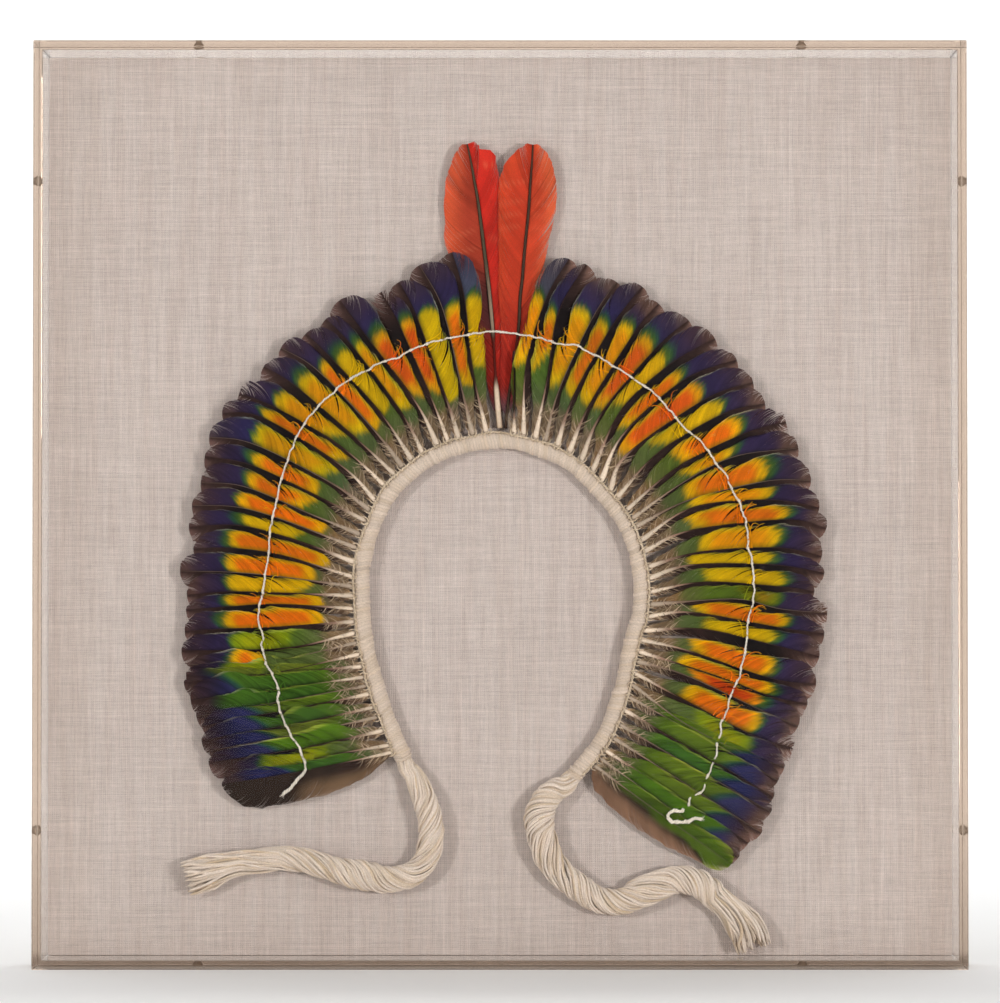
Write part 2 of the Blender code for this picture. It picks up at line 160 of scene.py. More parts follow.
class Soup:
    """Gathers grids and tubes into one mesh with a tint and a UV layout."""

    def __init__(self, rows=1, cols=1):
        self.verts, self.tints, self.count = [], [], 0
        self.quads, self.quad_uv = [], []
        self.tris, self.tri_uv = [], []
        self.rows, self.cols, self.tile = rows, cols, -1

    def next_tile(self):
        self.tile += 1

    def place(self, u, v):
        """Spot in the current tile, for u and v from 0 to 1."""
        t = max(self.tile, 0)
        col, row = t % self.cols, (t // self.cols) % self.rows
        return ((col + 0.02 + 0.96 * u) / self.cols, (row + 0.02 + 0.96 * v) / self.rows)

    def add(self, verts, tints):
        verts = np.asarray(verts, dtype=float).reshape(-1, 3)
        tints = np.broadcast_to(np.asarray(tints, dtype=float), verts.shape) \
            if np.asarray(tints).ndim == 1 else np.asarray(tints, dtype=float).reshape(-1, 3)
        start = self.count
        self.verts.append(verts)
        self.tints.append(tints)
        self.count += len(verts)
        return start

    def strips(self, grid, tint, uv):
        """Ribbons: grid is (ribbon, rail, step, 3), uv the same with 2."""
        k, a, b, _ = grid.shape
        start = self.add(grid, tint)
        idx = start + np.arange(k * a * b).reshape(k, a, b)
        u, v = self.place(uv[..., 0], uv[..., 1])
        uv = np.stack([u, v], -1)
        q = np.stack([idx[:, :-1, :-1], idx[:, 1:, :-1], idx[:, 1:, 1:], idx[:, :-1, 1:]], -1)
        w = np.stack([uv[:, :-1, :-1], uv[:, 1:, :-1], uv[:, 1:, 1:], uv[:, :-1, 1:]], -2)
        self.quads.append(q.reshape(-1, 4))
        self.quad_uv.append(w.reshape(-1, 4, 2))

    def tube(self, path, radius, tint, sides=6, lane=(0.0, 1.0), caps=True, flat=None, phase=0.0):
        """A round tube along (n, 3) world points, radius in metres."""
        path = np.asarray(path, dtype=float)
        n = len(path)
        radius = np.broadcast_to(radius, n)
        tangent = np.gradient(path, axis=0)
        tangent /= np.linalg.norm(tangent, axis=1)[:, None] + 1e-12
        front = np.array([0.0, -1.0, 0.0]) if flat is None else flat
        across = np.cross(tangent, front)
        size = np.linalg.norm(across, axis=1)
        weak = size < 0.15
        if weak.any():
            across[weak] = np.cross(tangent[weak], np.array([0.3, 0.0, 1.0]))
            size = np.linalg.norm(across, axis=1)
        across /= size[:, None]
        up = np.cross(across, tangent)
        ang = np.linspace(0, 2 * math.pi, sides, endpoint=False) + phase
        ring = (path[:, None, :] + radius[:, None, None] * (
            np.cos(ang)[None, :, None] * across[:, None, :]
            + np.sin(ang)[None, :, None] * up[:, None, :]))
        self.rings(ring, tint, lane, caps)

    def rings(self, ring, tint, lane=(0.0, 1.0), caps=True):
        """A closed skin over (n, sides, 3) rings."""
        n, sides, _ = ring.shape
        tint = np.asarray(tint, dtype=float)
        if tint.ndim == 1:
            tint = np.broadcast_to(tint, (n, sides, 3))
        elif tint.ndim == 2:
            tint = np.broadcast_to(tint[:, None, :], (n, sides, 3))
        start = self.add(ring, tint.reshape(-1, 3))
        idx = start + np.arange(n * sides).reshape(n, sides)
        nxt = np.roll(idx, -1, axis=1)
        q = np.stack([idx[:-1], nxt[:-1], nxt[1:], idx[1:]], -1).reshape(-1, 4)
        along = np.linspace(0.01, 0.99, n)
        lo, hi = lane
        a0 = lo + (hi - lo) * (0.05 + 0.9 * np.arange(sides) / sides)
        a1 = lo + (hi - lo) * (0.05 + 0.9 * (np.arange(sides) + 1) / sides)
        l0, l1 = along[:-1, None], along[1:, None]
        u = np.stack([np.broadcast_to(x, (n - 1, sides)) for x in (l0, l0, l1, l1)], -1)
        v = np.stack([np.broadcast_to(x[None], (n - 1, sides)) for x in (a0, a1, a1, a0)], -1)
        u, v = self.place(u, v)
        self.quads.append(q)
        self.quad_uv.append(np.stack([u, v], -1).reshape(-1, 4, 2))
        if caps:
            for end, order in ((0, 1), (n - 1, -1)):
                c = self.add(ring[end].mean(axis=0), tint[end].mean(axis=0))
                t = np.stack([np.full(sides, c), nxt[end][::1], idx[end]], -1)
                if order == -1:
                    t = t[:, ::-1]
                self.tris.append(t)
                at = along[end]
                u, v = self.place(np.full((sides, 3), at), np.full((sides, 3), (lo + hi) / 2))
                self.tri_uv.append(np.stack([u, v], -1))

    def object(self, name, material):
        verts = np.concatenate(self.verts)
        tints = np.concatenate(self.tints)
        quads = np.concatenate(self.quads) if self.quads else np.zeros((0, 4), int)
        tris = np.concatenate(self.tris) if self.tris else np.zeros((0, 3), int)
        uv = [q.reshape(-1, 2) for q in self.quad_uv] + [t.reshape(-1, 2) for t in self.tri_uv]
        mesh = bpy.data.meshes.new(name)
        mesh.vertices.add(len(verts))
        mesh.vertices.foreach_set("co", verts.astype(np.float32).ravel())
        loops = np.concatenate([quads.ravel(), tris.ravel()]).astype(np.int32)
        mesh.loops.add(len(loops))
        mesh.loops.foreach_set("vertex_index", loops)
        starts = np.concatenate([np.arange(len(quads)) * 4, len(quads) * 4 + np.arange(len(tris)) * 3])
        mesh.polygons.add(len(starts))
        mesh.polygons.foreach_set("loop_start", starts.astype(np.int32))
        mesh.update(calc_edges=True)
        layer = mesh.uv_layers.new(name="OFBake")
        layer.data.foreach_set("uv", np.concatenate(uv).astype(np.float32).ravel())
        tint = mesh.attributes.new("tint", 'FLOAT_COLOR', 'POINT')
        tint.data.foreach_set("color", np.column_stack(
            [np.clip(tints, 0, 1), np.ones(len(tints))]).astype(np.float32).ravel())
        mesh.validate()
        mesh.shade_smooth()
        obj = bpy.data.objects.new(name, mesh)
        bpy.context.scene.collection.objects.link(obj)
        obj.data.materials.append(material)
        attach(obj, "root")
        return obj


# ---------------------------------------------------------------- materials

class Nodes:
    """Short names for building a material's nodes."""

    def __init__(self, name):
        self.mat = bpy.data.materials.new(name)
        self.mat.use_nodes = True
        self.tree = self.mat.node_tree
        self.tree.nodes.clear()
        self.out = self.tree.nodes.new("ShaderNodeOutputMaterial")
        self.bsdf = self.tree.nodes.new("ShaderNodeBsdfPrincipled")
        self.link(self.bsdf.outputs[0], self.out.inputs[0])

    def link(self, a, b):
        self.tree.links.new(a, b)

    def node(self, kind, **sets):
        n = self.tree.nodes.new(kind)
        for key, value in sets.items():
            setattr(n, key, value)
        return n

    def put(self, socket, value):
        if hasattr(value, "is_output"):
            self.link(value, socket)
        elif value is not None:
            socket.default_value = value

    def coords(self, scale=(1, 1, 1), turn=(0, 0, 0)):
        tex = self.node("ShaderNodeTexCoord")
        m = self.node("ShaderNodeMapping")
        m.inputs["Scale"].default_value = scale
        m.inputs["Rotation"].default_value = turn
        self.link(tex.outputs["Object"], m.inputs[0])
        return m.outputs[0]

    def noise(self, vector, scale, detail=3.0, rough=0.55):
        n = self.node("ShaderNodeTexNoise")
        self.link(vector, n.inputs["Vector"])
        n.inputs["Scale"].default_value = scale
        n.inputs["Detail"].default_value = detail
        n.inputs["Roughness"].default_value = rough
        return n.outputs["Fac"]

    def range(self, value, a, b, c, d, smooth=False):
        n = self.node("ShaderNodeMapRange")
        if smooth:
            n.interpolation_type = 'SMOOTHSTEP'
        self.put(n.inputs[0], value)
        for k, x in enumerate((a, b, c, d), 1):
            n.inputs[k].default_value = x
        return n.outputs[0]

    def math(self, op, a, b=0.0, c=None):
        n = self.node("ShaderNodeMath", operation=op)
        self.put(n.inputs[0], a)
        self.put(n.inputs[1], b)
        if c is not None:
            self.put(n.inputs[2], c)
        return n.outputs[0]

    def mixed(self, fac, a, b, blend='MIX'):
        n = self.node("ShaderNodeMix", data_type='RGBA', blend_type=blend)
        self.put(n.inputs[0], fac)
        self.put(n.inputs[6], a)
        self.put(n.inputs[7], b)
        return n.outputs[2]

    def tint(self):
        n = self.node("ShaderNodeAttribute")
        n.attribute_name = "tint"
        return n.outputs["Color"]

    def grey(self, value):
        """A brightness as a colour, to multiply by."""
        n = self.node("ShaderNodeCombineColor")
        for k in range(3):
            self.put(n.inputs[k], value)
        return n.outputs[0]

    def bump(self, height, distance, strength=1.0):
        n = self.node("ShaderNodeBump")
        n.inputs["Strength"].default_value = strength
        n.inputs["Distance"].default_value = distance
        self.link(height, n.inputs["Height"])
        self.link(n.outputs[0], self.bsdf.inputs["Normal"])

    def set(self, **values):
        for key, value in values.items():
            self.put(self.bsdf.inputs[key.replace("_", " ")], value)


def linen_material():
    """Plain-woven linen: uneven threads both ways, a little fuzz."""
    m = Nodes("linen_cloth")
    warp_tone = m.noise(m.coords((1, 1, 0.035)), 820, 3, 0.62)
    weft_tone = m.noise(m.coords((0.035, 1, 1)), 820, 3, 0.62)
    warp_fine = m.noise(m.coords((1, 1, 0.10)), 1900, 2, 0.5)
    weft_fine = m.noise(m.coords((0.10, 1, 1)), 1900, 2, 0.5)
    slub_v = m.range(m.noise(m.coords((1, 1, 0.02)), 330, 2, 0.5), 0.60, 0.78, 0, 1, True)
    slub_h = m.range(m.noise(m.coords((0.02, 1, 1)), 330, 2, 0.5), 0.60, 0.78, 0, 1, True)
    pale_v = m.range(m.noise(m.coords((1, 1, 0.012)), 520, 1, 0.4), 0.66, 0.74, 0, 1, True)
    pale_h = m.range(m.noise(m.coords((0.012, 1, 1)), 520, 1, 0.4), 0.66, 0.74, 0, 1, True)
    wave_x = m.node("ShaderNodeTexWave", wave_type='BANDS', bands_direction='X')
    m.link(m.coords(), wave_x.inputs[0])
    wave_x.inputs["Scale"].default_value = 240
    wave_x.inputs["Distortion"].default_value = 1.2
    wave_x.inputs["Detail"].default_value = 1.0
    wave_x.inputs["Detail Scale"].default_value = 1.6
    wave_z = m.node("ShaderNodeTexWave", wave_type='BANDS', bands_direction='Z')
    m.link(m.coords(), wave_z.inputs[0])
    wave_z.inputs["Scale"].default_value = 255
    wave_z.inputs["Distortion"].default_value = 1.2
    wave_z.inputs["Detail"].default_value = 1.0
    wave_z.inputs["Detail Scale"].default_value = 1.6
    weave = m.math('ADD', wave_x.outputs["Fac"], wave_z.outputs["Fac"])
    tone = m.math('ADD', m.range(warp_tone, 0.3, 0.7, -0.085, 0.085),
                  m.range(weft_tone, 0.3, 0.7, -0.085, 0.085))
    tone = m.math('ADD', tone, m.range(warp_fine, 0.3, 0.7, -0.05, 0.05))
    tone = m.math('ADD', tone, m.range(weft_fine, 0.3, 0.7, -0.05, 0.05))
    tone = m.math('ADD', tone, m.range(weave, 0.4, 1.6, -0.075, 0.06))
    tone = m.math('ADD', tone, m.math('MULTIPLY', slub_v, 0.07))
    tone = m.math('ADD', tone, m.math('MULTIPLY', slub_h, 0.07))
    tone = m.math('ADD', tone, m.math('MULTIPLY', pale_v, 0.06))
    tone = m.math('ADD', tone, m.math('MULTIPLY', pale_h, 0.06))
    broad = m.range(m.noise(m.coords(), 7, 2, 0.5), 0.3, 0.7, -0.025, 0.025)
    tone = m.math('ADD', m.math('ADD', tone, broad), 1.0)
    base = m.mixed(m.range(m.noise(m.coords((1, 1, 0.05)), 260, 2), 0.35, 0.7, 0, 1),
                   rgba(LINEN_A), rgba(LINEN_B))
    cloth = m.mixed(1.0, base, m.grey(tone), 'MULTIPLY')
    # the board behind the cloth, seen on its edges and back
    geo = m.node("ShaderNodeTexCoord")
    sep = m.node("ShaderNodeSeparateXYZ")
    m.link(geo.outputs["Object"], sep.inputs[0])
    back = m.range(sep.outputs[1], BOARD_HI.y - 0.0004, BOARD_HI.y - 0.0002, 0, 1)
    fibre = m.range(m.noise(m.coords((1, 1, 1)), 90, 5, 0.6), 0.3, 0.7, 0.88, 1.06)
    board = m.mixed(1.0, rgba(lin(168, 152, 128)), m.grey(fibre), 'MULTIPLY')
    m.set(Base_Color=m.mixed(back, cloth, board), Roughness=0.92,
          Specular_IOR_Level=0.15)
    height = m.math('ADD', weave, m.math('MULTIPLY', m.math('ADD', warp_fine, weft_fine), 0.8))
    m.bump(m.math('MULTIPLY', height, m.math('SUBTRACT', 1.0, back)), 0.00022, 0.8)
    return m.mat


def fibre_material(name, rough, fine, depth, spread=(0.80, 1.14)):
    """Spun fibre coloured by the mesh's tint, with fine lint and shade."""
    m = Nodes(name)
    lint = m.noise(m.coords(), fine, 4, 0.65)
    tone = m.range(lint, 0.3, 0.7, spread[0], spread[1])
    m.set(Base_Color=m.mixed(1.0, m.tint(), m.grey(tone), 'MULTIPLY'),
          Roughness=m.range(lint, 0.3, 0.7, rough - 0.06, rough + 0.06),
          Specular_IOR_Level=0.2)
    m.bsdf.inputs["Sheen Weight"].default_value = 0.25
    m.bsdf.inputs["Sheen Roughness"].default_value = 0.5
    m.bump(lint, depth, 0.9)
    return m.mat


def feather_material(name, rough, sheen):
    """Barbs coloured by the mesh's tint, slightly silky."""
    m = Nodes(name)
    fine = m.noise(m.coords(), 1500, 3, 0.6)
    soft = m.noise(m.coords(), 120, 2, 0.5)
    tone = m.math('MULTIPLY', m.range(fine, 0.3, 0.7, 0.86, 1.12),
                  m.range(soft, 0.3, 0.7, 0.93, 1.06))
    m.set(Base_Color=m.mixed(1.0, m.tint(), m.grey(tone), 'MULTIPLY'),
          Roughness=m.range(fine, 0.3, 0.7, rough - 0.07, rough + 0.07),
          Specular_IOR_Level=0.07)
    m.bsdf.inputs["Sheen Weight"].default_value = sheen
    m.bsdf.inputs["Sheen Roughness"].default_value = 0.45
    m.bump(fine, 0.00008, 0.6)
    return m.mat


def steel_material():
    """Plated screw steel, dulled and scuffed."""
    m = Nodes("screw_plated")
    scuff = m.noise(m.coords((1, 1, 1)), 900, 4, 0.7)
    m.set(Base_Color=m.mixed(scuff, rgba(lin(190, 188, 184)), rgba(lin(232, 230, 226))),
          Metallic=0.2, Roughness=m.range(scuff, 0.3, 0.7, 0.38, 0.6))
    m.bump(scuff, 0.00003, 0.5)
    return m.mat


def acrylic_material(name, edge_tint):
    """Clear acrylic: refracts for the eye, lets lamps straight through. Its
    front is anti-reflective; along its walls it is faintly amber."""
    m = Nodes(name)
    haze = m.noise(m.coords(), 60, 3, 0.6)
    clean = m.mixed(haze, rgba((0.985, 0.982, 0.975)), rgba((0.995, 0.992, 0.987)))
    if edge_tint:
        # painted shade: towards the bottom of the box its walls are coloured darker
        sep = m.node("ShaderNodeSeparateXYZ")
        m.link(m.coords(), sep.inputs[0])
        foot = m.range(sep.outputs[2], 0.004, 0.011, 1, 0, True)
        clean = m.mixed(m.math('MULTIPLY', foot, m.range(haze, 0.2, 0.8, 0.75, 1.0)),
                        clean, rgba((0.50, 0.465, 0.45)))
    m.set(Base_Color=clean, Transmission_Weight=1.0, IOR=1.49, Roughness=0.0,
          Specular_Tint=(0.12, 0.12, 0.12, 1))
    if edge_tint:
        thick = m.node("ShaderNodeVolumeAbsorption")
        thick.inputs["Color"].default_value = (0.50, 0.32, 0.16, 1)
        thick.inputs["Density"].default_value = edge_tint
        m.link(thick.outputs[0], m.out.inputs["Volume"])
    clear = m.node("ShaderNodeBsdfTransparent")
    clear.inputs[0].default_value = (0.97, 0.965, 0.955, 1)
    path = m.node("ShaderNodeLightPath")
    blend = m.node("ShaderNodeMixShader")
    m.link(m.math('MAXIMUM', path.outputs["Is Shadow Ray"], path.outputs["Is Diffuse Ray"]),
           blend.inputs[0])
    m.link(m.bsdf.outputs[0], blend.inputs[1])
    m.link(clear.outputs[0], blend.inputs[2])
    m.link(blend.outputs[0], m.out.inputs[0])
    return m.mat


LINEN_A, LINEN_B = lin(201, 189, 184), lin(195, 181, 175)

LINEN = linen_material()
COTTON = fibre_material("wound_cotton_yarn", 0.88, 1400, 0.00012)
CORD_YARN = fibre_material("cord_cotton_yarn", 0.88, 1300, 0.00015)
TWINE = fibre_material("lashing_twine_fibre", 0.85, 1800, 0.0001)
THREAD = fibre_material("thread_cotton_fibre", 0.85, 2200, 0.0001, (0.9, 1.08))
PARROT = feather_material("parrot_feather_barbs", 0.60, 0.004)
MACAW = feather_material("macaw_feather_barbs", 0.56, 0.006)
STEEL = steel_material()
PANE = acrylic_material("acrylic_front", 0.0)
WALLS = acrylic_material("acrylic_walls", 22.5)


# ------------------------------------------------------------------- camera

CAM_Y = FRONT_Y - 3.2
cam_data = bpy.data.cameras.new("camera")
camera = bpy.data.objects.new("camera", cam_data)
bpy.context.scene.collection.objects.link(camera)
cam_data.sensor_fit = 'HORIZONTAL'
cam_data.sensor_width = 36.0
cam_data.lens = 176.85
cam_data.clip_start, cam_data.clip_end = 0.1, 40.0
camera.location = (0.0, CAM_Y, 0.234)
AIM = Vector((0.0, FRONT_Y, 0.3046))
camera.rotation_mode = 'QUATERNION'
camera.rotation_quaternion = (AIM - camera.location).to_track_quat('-Z', 'Y')
bpy.context.scene.camera = camera


# -------------------------------------------------------------- tie cords

# angle (degrees), radius (mm) along the middle of the band
BAND_PATH = [
    (-148.2, 121.2), (-139, 110), (-130, 102.6), (-117, 95.6), (-103, 92.4),
    (-90, 91.2), (-73, 94.5), (-57, 98.2), (-42, 102.6), (-22, 105.2),
    (0, 106.0), (22, 103), (37, 99), (57, 96.9), (77, 94.7), (94, 93),
    (104, 91.2), (115, 93.3), (127, 100), (140, 110.6), (149, 118),
    (156.9, 124.9),
]

# x and height (mm) along the tie cords, after the end of the band
CORD_LEFT = [
    (-56.0, 123.8), (-47.4, 102.0), (-45.4, 80.9), (-53.7, 63.1),
    (-71.8, 56.5), (-90.3, 59.2), (-108.8, 63.1), (-123.3, 67.7),
    (-139.1, 70.4), (-157.6, 69.0), (-175.4, 66.4), (-193.9, 60.5),
    (-205.1, 57.2),
]
CORD_RIGHT = [
    (35.5, 114.5), (28.5, 106.0), (25.8, 95.4), (29.8, 77.6), (37.7, 63.1),
    (50.9, 51.9), (64.8, 43.3), (79.3, 42.0), (93.1, 47.9), (107.7, 54.0),
    (118.2, 56.5), (130.7, 54.0), (141.3, 46.0), (153.2, 35.5),
    (162.7, 23.5), (167.0, 13.0),
]
CORD_R, CORD_START_R, CORD_LIFT = 8.5, 5.5, 0.5

band_path = smooth([polar(a, r) for a, r in BAND_PATH], 2.0)


def cord_route(end, before, rows):
    ahead = (end - before) / np.linalg.norm(end - before)
    route = [end + ahead * 0.9, end + ahead * 8.9] + [np.array(r) for r in rows]
    path = smooth(route, 1.2)
    run = run_of(path)
    radii = CORD_START_R + (CORD_R - CORD_START_R) * np.clip(run / 30, 0, 1)
    lift = BAND_LIFT + (radii + CORD_LIFT - BAND_LIFT) * smoothstep(6, 20, run)
    return path, run, radii, lift


PLIES = 5
CREAM = lin(226, 211, 198)
BAND_CREAM = lin(209, 192, 177)
TAN = lin(196, 170, 134)


def tie_cord(name, node, end, before, rows, twists, seed, diameter, humps=(), full=((0, 1), (1, 1))):
    """A bundle of cotton yarns, laid in plies with grooves between them and
    frayed at the end."""
    path, run, radii, lift = cord_route(end, before, rows)
    total = run[-1]
    rng = rng_for(seed)
    tangent = np.gradient(path, axis=0)
    tangent /= np.linalg.norm(tangent, axis=1)[:, None]
    side = np.column_stack([tangent[:, 1], -tangent[:, 0]])
    turn = 1.35 * np.interp(run / total, [t[0] for t in twists], [t[1] for t in twists])
    full = np.interp(run / total, [p[0] for p in full], [p[1] for p in full])
    layers = [(38, 0.915, 0.82), (30, 0.76, 0.92), (15, 0.45, 1.0)]
    count = sum(l[0] for l in layers)
    soup = Soup(rows=12, cols=7)
    for ring, (many, place, thick) in enumerate(layers):
        for j in range(many):
            soup.next_tile()
            # a yarn stops a little short or runs a little long, then frays
            over = rng.uniform(-6, 7)
            stop = total + min(over, 0.0)
            n = int(stop / 1.35)
            at = np.linspace(0, stop, n)
            c = at_run(path, run, at)
            s = at_run(side, run, at)
            t2 = at_run(tangent, run, at)
            r = np.interp(at, run, radii * full)
            h = np.interp(at, run, lift)
            free = smoothstep(total - 38, total + 2, at)
            base = 2 * math.pi * (j + 0.5 * (ring % 2)) / many
            groove = (1 - abs(math.cos(PLIES * base / 2))) ** 1.3 if ring < 2 else 0.0
            theta = (base + np.interp(at, run, turn) + wander(rng, n, 22) * 0.12
                     + rng.normal(0, 0.06))
            rho = place * (r - 0.9) * (1 + 0.045 * wander(rng, n, 16))
            rho = rho * (1 + 0.04 * (ring == 0) - (0.21 if ring == 0 else 0.13) * groove * (1 - free))
            rho = rho * (1 + 0.52 * free) + free * rng.normal(0, 0.7)
            a = rho * np.cos(theta) * 1.05
            b = rho * np.sin(theta) * 0.86
            b = b + 0.35 * wander(rng, n, 12) * (0.3 + free)
            for start, stop_h, high, wide in humps:
                bulge = np.exp(-((at - (start + stop_h) / 2) / ((stop_h - start) / 2)) ** 2)
                a = a * (1 + wide * bulge)
                b = b + high * bulge * (np.sin(theta) > 0)
                # the yarns part in two groups, with a slit between them
                a = a + 0.9 * bulge * np.tanh((a - 1.0) / 1.2)
            b = b - free * 2.2                         # the loose ends lie down
            a = a + free * free * rng.normal(0, 2.0)
            most = 650 * diameter + 0.1                # mm, as far as a yarn strays
            keep = np.minimum(1, most / np.maximum(np.hypot(a, b), 1e-6))
            a, b = a * keep, b * keep
            c = c + t2 * (np.clip(at - (total - 10), 0, 10) / 10 * max(over, 0.0) * 0.5)[:, None]
            xz = c + s * a[:, None]
            size = thick * 1.04 * (1 + 0.07 * wander(rng, n, 6)) * (1 + 0.22 * free)
            size = size * (0.75 + 0.25 * np.clip(at / 14, 0, 1))
            size[-3:] *= np.array([0.85, 0.6, 0.25])
            pts = lifted(xz, np.maximum(h + b, size + 0.25))
            shade = rng.normal(0, 0.035)
            tan = np.clip(rng.random() ** 3 * 0.6 + 0.12 * wander(rng, n, 10), 0, 0.7)
            colour = mix(CREAM[None, :], TAN[None, :], tan) * (1 + shade + 0.03 * wander(rng, n, 5))[:, None]
            # painted shade: inner layers and yarns sunk in the grooves between plies are coloured darker
            colour = colour * (1 - 0.04 * ring) * (1 - 0.11 * groove)
            soup.tube(pts, size * MM, colour, sides=5, caps=True)
    obj = soup.object(name, CORD_YARN)
    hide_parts(node)
    line = at_run(np.column_stack([path, lift]), run, np.linspace(0, total, 48))
    world = lifted(line[:, :2], line[:, 2])
    length = float(run_of(world)[-1])
    return length


CORD_LENGTHS = (
    tie_cord("tie_cord_left_yarns", "tie_cord_left", band_path[0], band_path[1], CORD_LEFT,
             [(0, 0), (0.12, -0.9), (0.24, -3.6), (0.36, -5.0), (0.60, -10.4), (0.74, -12.2),
              (0.85, -12.8), (1, -13.0)],
             11, 0.017, humps=[(104, 132, 1.8, 0.12)], full=((0, 1.0), (0.9, 1.0), (1, 1.06))),
    tie_cord("tie_cord_right_yarns", "tie_cord_right", band_path[-1], band_path[-2], CORD_RIGHT,
             [(0, 0), (0.05, -0.8), (0.20, -5.6), (0.36, -7.6), (0.58, -12.6), (0.68, -13.6),
              (0.82, -16.8), (1, -17.2)],
             12, 0.0175, humps=[(128, 160, 0.8, 0.05)],
             full=((0, 1.12), (0.15, 1.17), (0.35, 1.14), (0.5, 1.04), (0.7, 1.12), (1, 1.05))),
)


# ------------------------------------------------------- box, board, screws

def retexture(node, material, slot):
    """A carried-over CAD node takes a material of its own."""
    obj = bpy.data.objects[node]
    obj.data.materials.clear()
    obj.data.materials.append(material)
    return obj


board = retexture("backing_board", LINEN, "linen")
for k in range(1, 9):
    retexture("cover_screw_%d" % k, STEEL, "screw_steel")


def frame_block(name, material, lo, hi, hollow=None, edge=0.0005):
    """A bevelled block, or a square ring with an open middle along Y."""
    bm = bmesh.new()
    (x0, y0, z0), (x1, y1, z1) = lo, hi
    outer = [(x0, z0), (x1, z0), (x1, z1), (x0, z1)]
    loops = [outer] if hollow is None else [outer, [
        (x0 + hollow, z0 + hollow), (x1 - hollow, z0 + hollow),
        (x1 - hollow, z1 - hollow), (x0 + hollow, z1 - hollow)]]
    rings = [[[bm.verts.new((x, y, z)) for x, z in loop] for y in (y0, y1)] for loop in loops]
    for front, back in rings:
        for i in range(4):
            j = (i + 1) % 4
            bm.faces.new((front[i], front[j], back[j], back[i]))
    if hollow is None:
        front, back = rings[0]
        bm.faces.new(front)
        bm.faces.new(back)
    else:
        for y in (0, 1):
            a, b = rings[0][y], rings[1][y]
            for i in range(4):
                j = (i + 1) % 4
                bm.faces.new((a[i], a[j], b[j], b[i]))
    bmesh.ops.recalc_face_normals(bm, faces=bm.faces)
    sharp = [e for e in bm.edges if len(e.link_faces) == 2 and e.calc_face_angle() > 0.5]
    bmesh.ops.bevel(bm, geom=sharp, offset=edge, segments=2, affect='EDGES', profile=0.5)
    mesh = bpy.data.meshes.new(name)
    bm.to_mesh(mesh)
    bm.free()
    mesh.shade_smooth()
    mesh.set_sharp_from_angle(angle=math.radians(8))
    obj = bpy.data.objects.new(name, mesh)
    bpy.context.scene.collection.objects.link(obj)
    obj.data.materials.append(material)
    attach(obj, "root")
    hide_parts("display_cover")
    return obj


WALL_T, FRONT_T, SEAM = 0.006, 0.005, 0.00004
frame_block("cover_front", PANE, COVER_LO, (COVER_HI.x, FRONT_Y + FRONT_T, COVER_HI.z))
frame_block("cover_walls", WALLS, (COVER_LO.x, FRONT_Y + FRONT_T + SEAM, COVER_LO.z), COVER_HI,
            hollow=WALL_T)


# ------------------------------------------------------------ band, lashing

def wound_band():
    """The band, with its cotton yarn laid round it turn by turn."""
    rng = rng_for(21)
    path = smooth([polar(a, r) for a, r in BAND_PATH], 0.30)
    run = run_of(path)
    n, sides = len(path), 26
    # where each turn of yarn begins along the band
    edges, at = [], 0.0
    while at < run[-1] + 3:
        edges.append(at)
        at += max(1.1, rng.normal(1.95, 0.45))
    edges = np.array(edges)
    tone = np.clip(rng.normal(0, 1, len(edges)), -2, 2)
    size = rng.normal(0, 1, len(edges))
    out = outward(path)
    tangent = np.gradient(path, axis=0)
    tangent /= np.linalg.norm(tangent, axis=1)[:, None]
    ang = np.linspace(0, 2 * math.pi, sides, endpoint=False)
    ring = np.zeros((n, sides, 3))
    tint = np.zeros((n, sides, 3))
    swell = 0.24 * wander(rng, n, 60)
    lean = 0.8 + 0.35 * wander(rng, n, 120)
    ends = np.clip(np.minimum(run, run[-1] - run) / 3.0, 0, 1)
    for j, a in enumerate(ang):
        # turns lean along the band, so their place shifts with the angle
        s = run + lean * math.cos(a) * 1.1 + 0.22 * wander(rng, n, 14)
        k = np.clip(np.searchsorted(edges, s) - 1, 0, len(edges) - 2)
        width = edges[k + 1] - edges[k]
        u = np.clip((s - edges[k]) / width, 0, 1)
        round_ = np.sqrt(np.clip(1 - (2 * u - 1) ** 2, 0, 1))
        r = BAND_R - 0.30 + swell + 0.28 * round_ * (0.85 + 0.20 * size[k]) + 0.14 * size[k]
        r = r * (0.80 + 0.20 * np.sqrt(ends))
        up = BAND_LIFT + np.sin(a) * r * 0.98
        xz = path + out * (np.cos(a) * r)[:, None]
        ring[:, j, :] = lifted(xz, up)
        colour = mix(BAND_CREAM[None, :], TAN[None, :], np.clip(0.10 + 0.10 * tone[k], 0, 0.5))
        # painted shade: each turn of yarn is coloured darker towards its edges, where it meets the next
        colour = colour * (0.76 + 0.25 * round_)[:, None] * (1 + 0.045 * size[k])[:, None]
        tint[:, j, :] = colour
    soup = Soup(rows=3)
    soup.next_tile()
    soup.rings(ring[:, ::-1], tint[:, ::-1])
    for k, (end, before) in enumerate(((path[0], path[4]), (path[-1], path[-5]))):
        ahead = (end - before) / np.linalg.norm(end - before)
        across = np.array([ahead[1], -ahead[0]])
        th = np.linspace(0, 2 * math.pi * 5.2, 150)
        along = np.linspace(-4.6, 1.6, 150) + 0.5 * wander(rng, 150, 40) + 1.3 * np.sin(th + k)
        rr = 5.15 + 0.25 * wander(rng, 150, 25) - 0.25 * smoothstep(-1.0, 1.6, along)
        xz = end + ahead * along[:, None] + across * (np.cos(th) * rr)[:, None]
        shade = mix(BAND_CREAM[None], TAN[None], np.clip(0.15 + 0.15 * wander(rng, 150, 20), 0, 0.6))
        soup.next_tile()
        soup.tube(lifted(xz, BAND_LIFT + np.sin(th) * rr), 0.85 * MM * (1 + 0.08 * wander(rng, 150, 8)),
                  shade, sides=6)
    obj = soup.object("crown_band_yarn", COTTON)
    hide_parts("crown_band")
    return obj


wound_band()

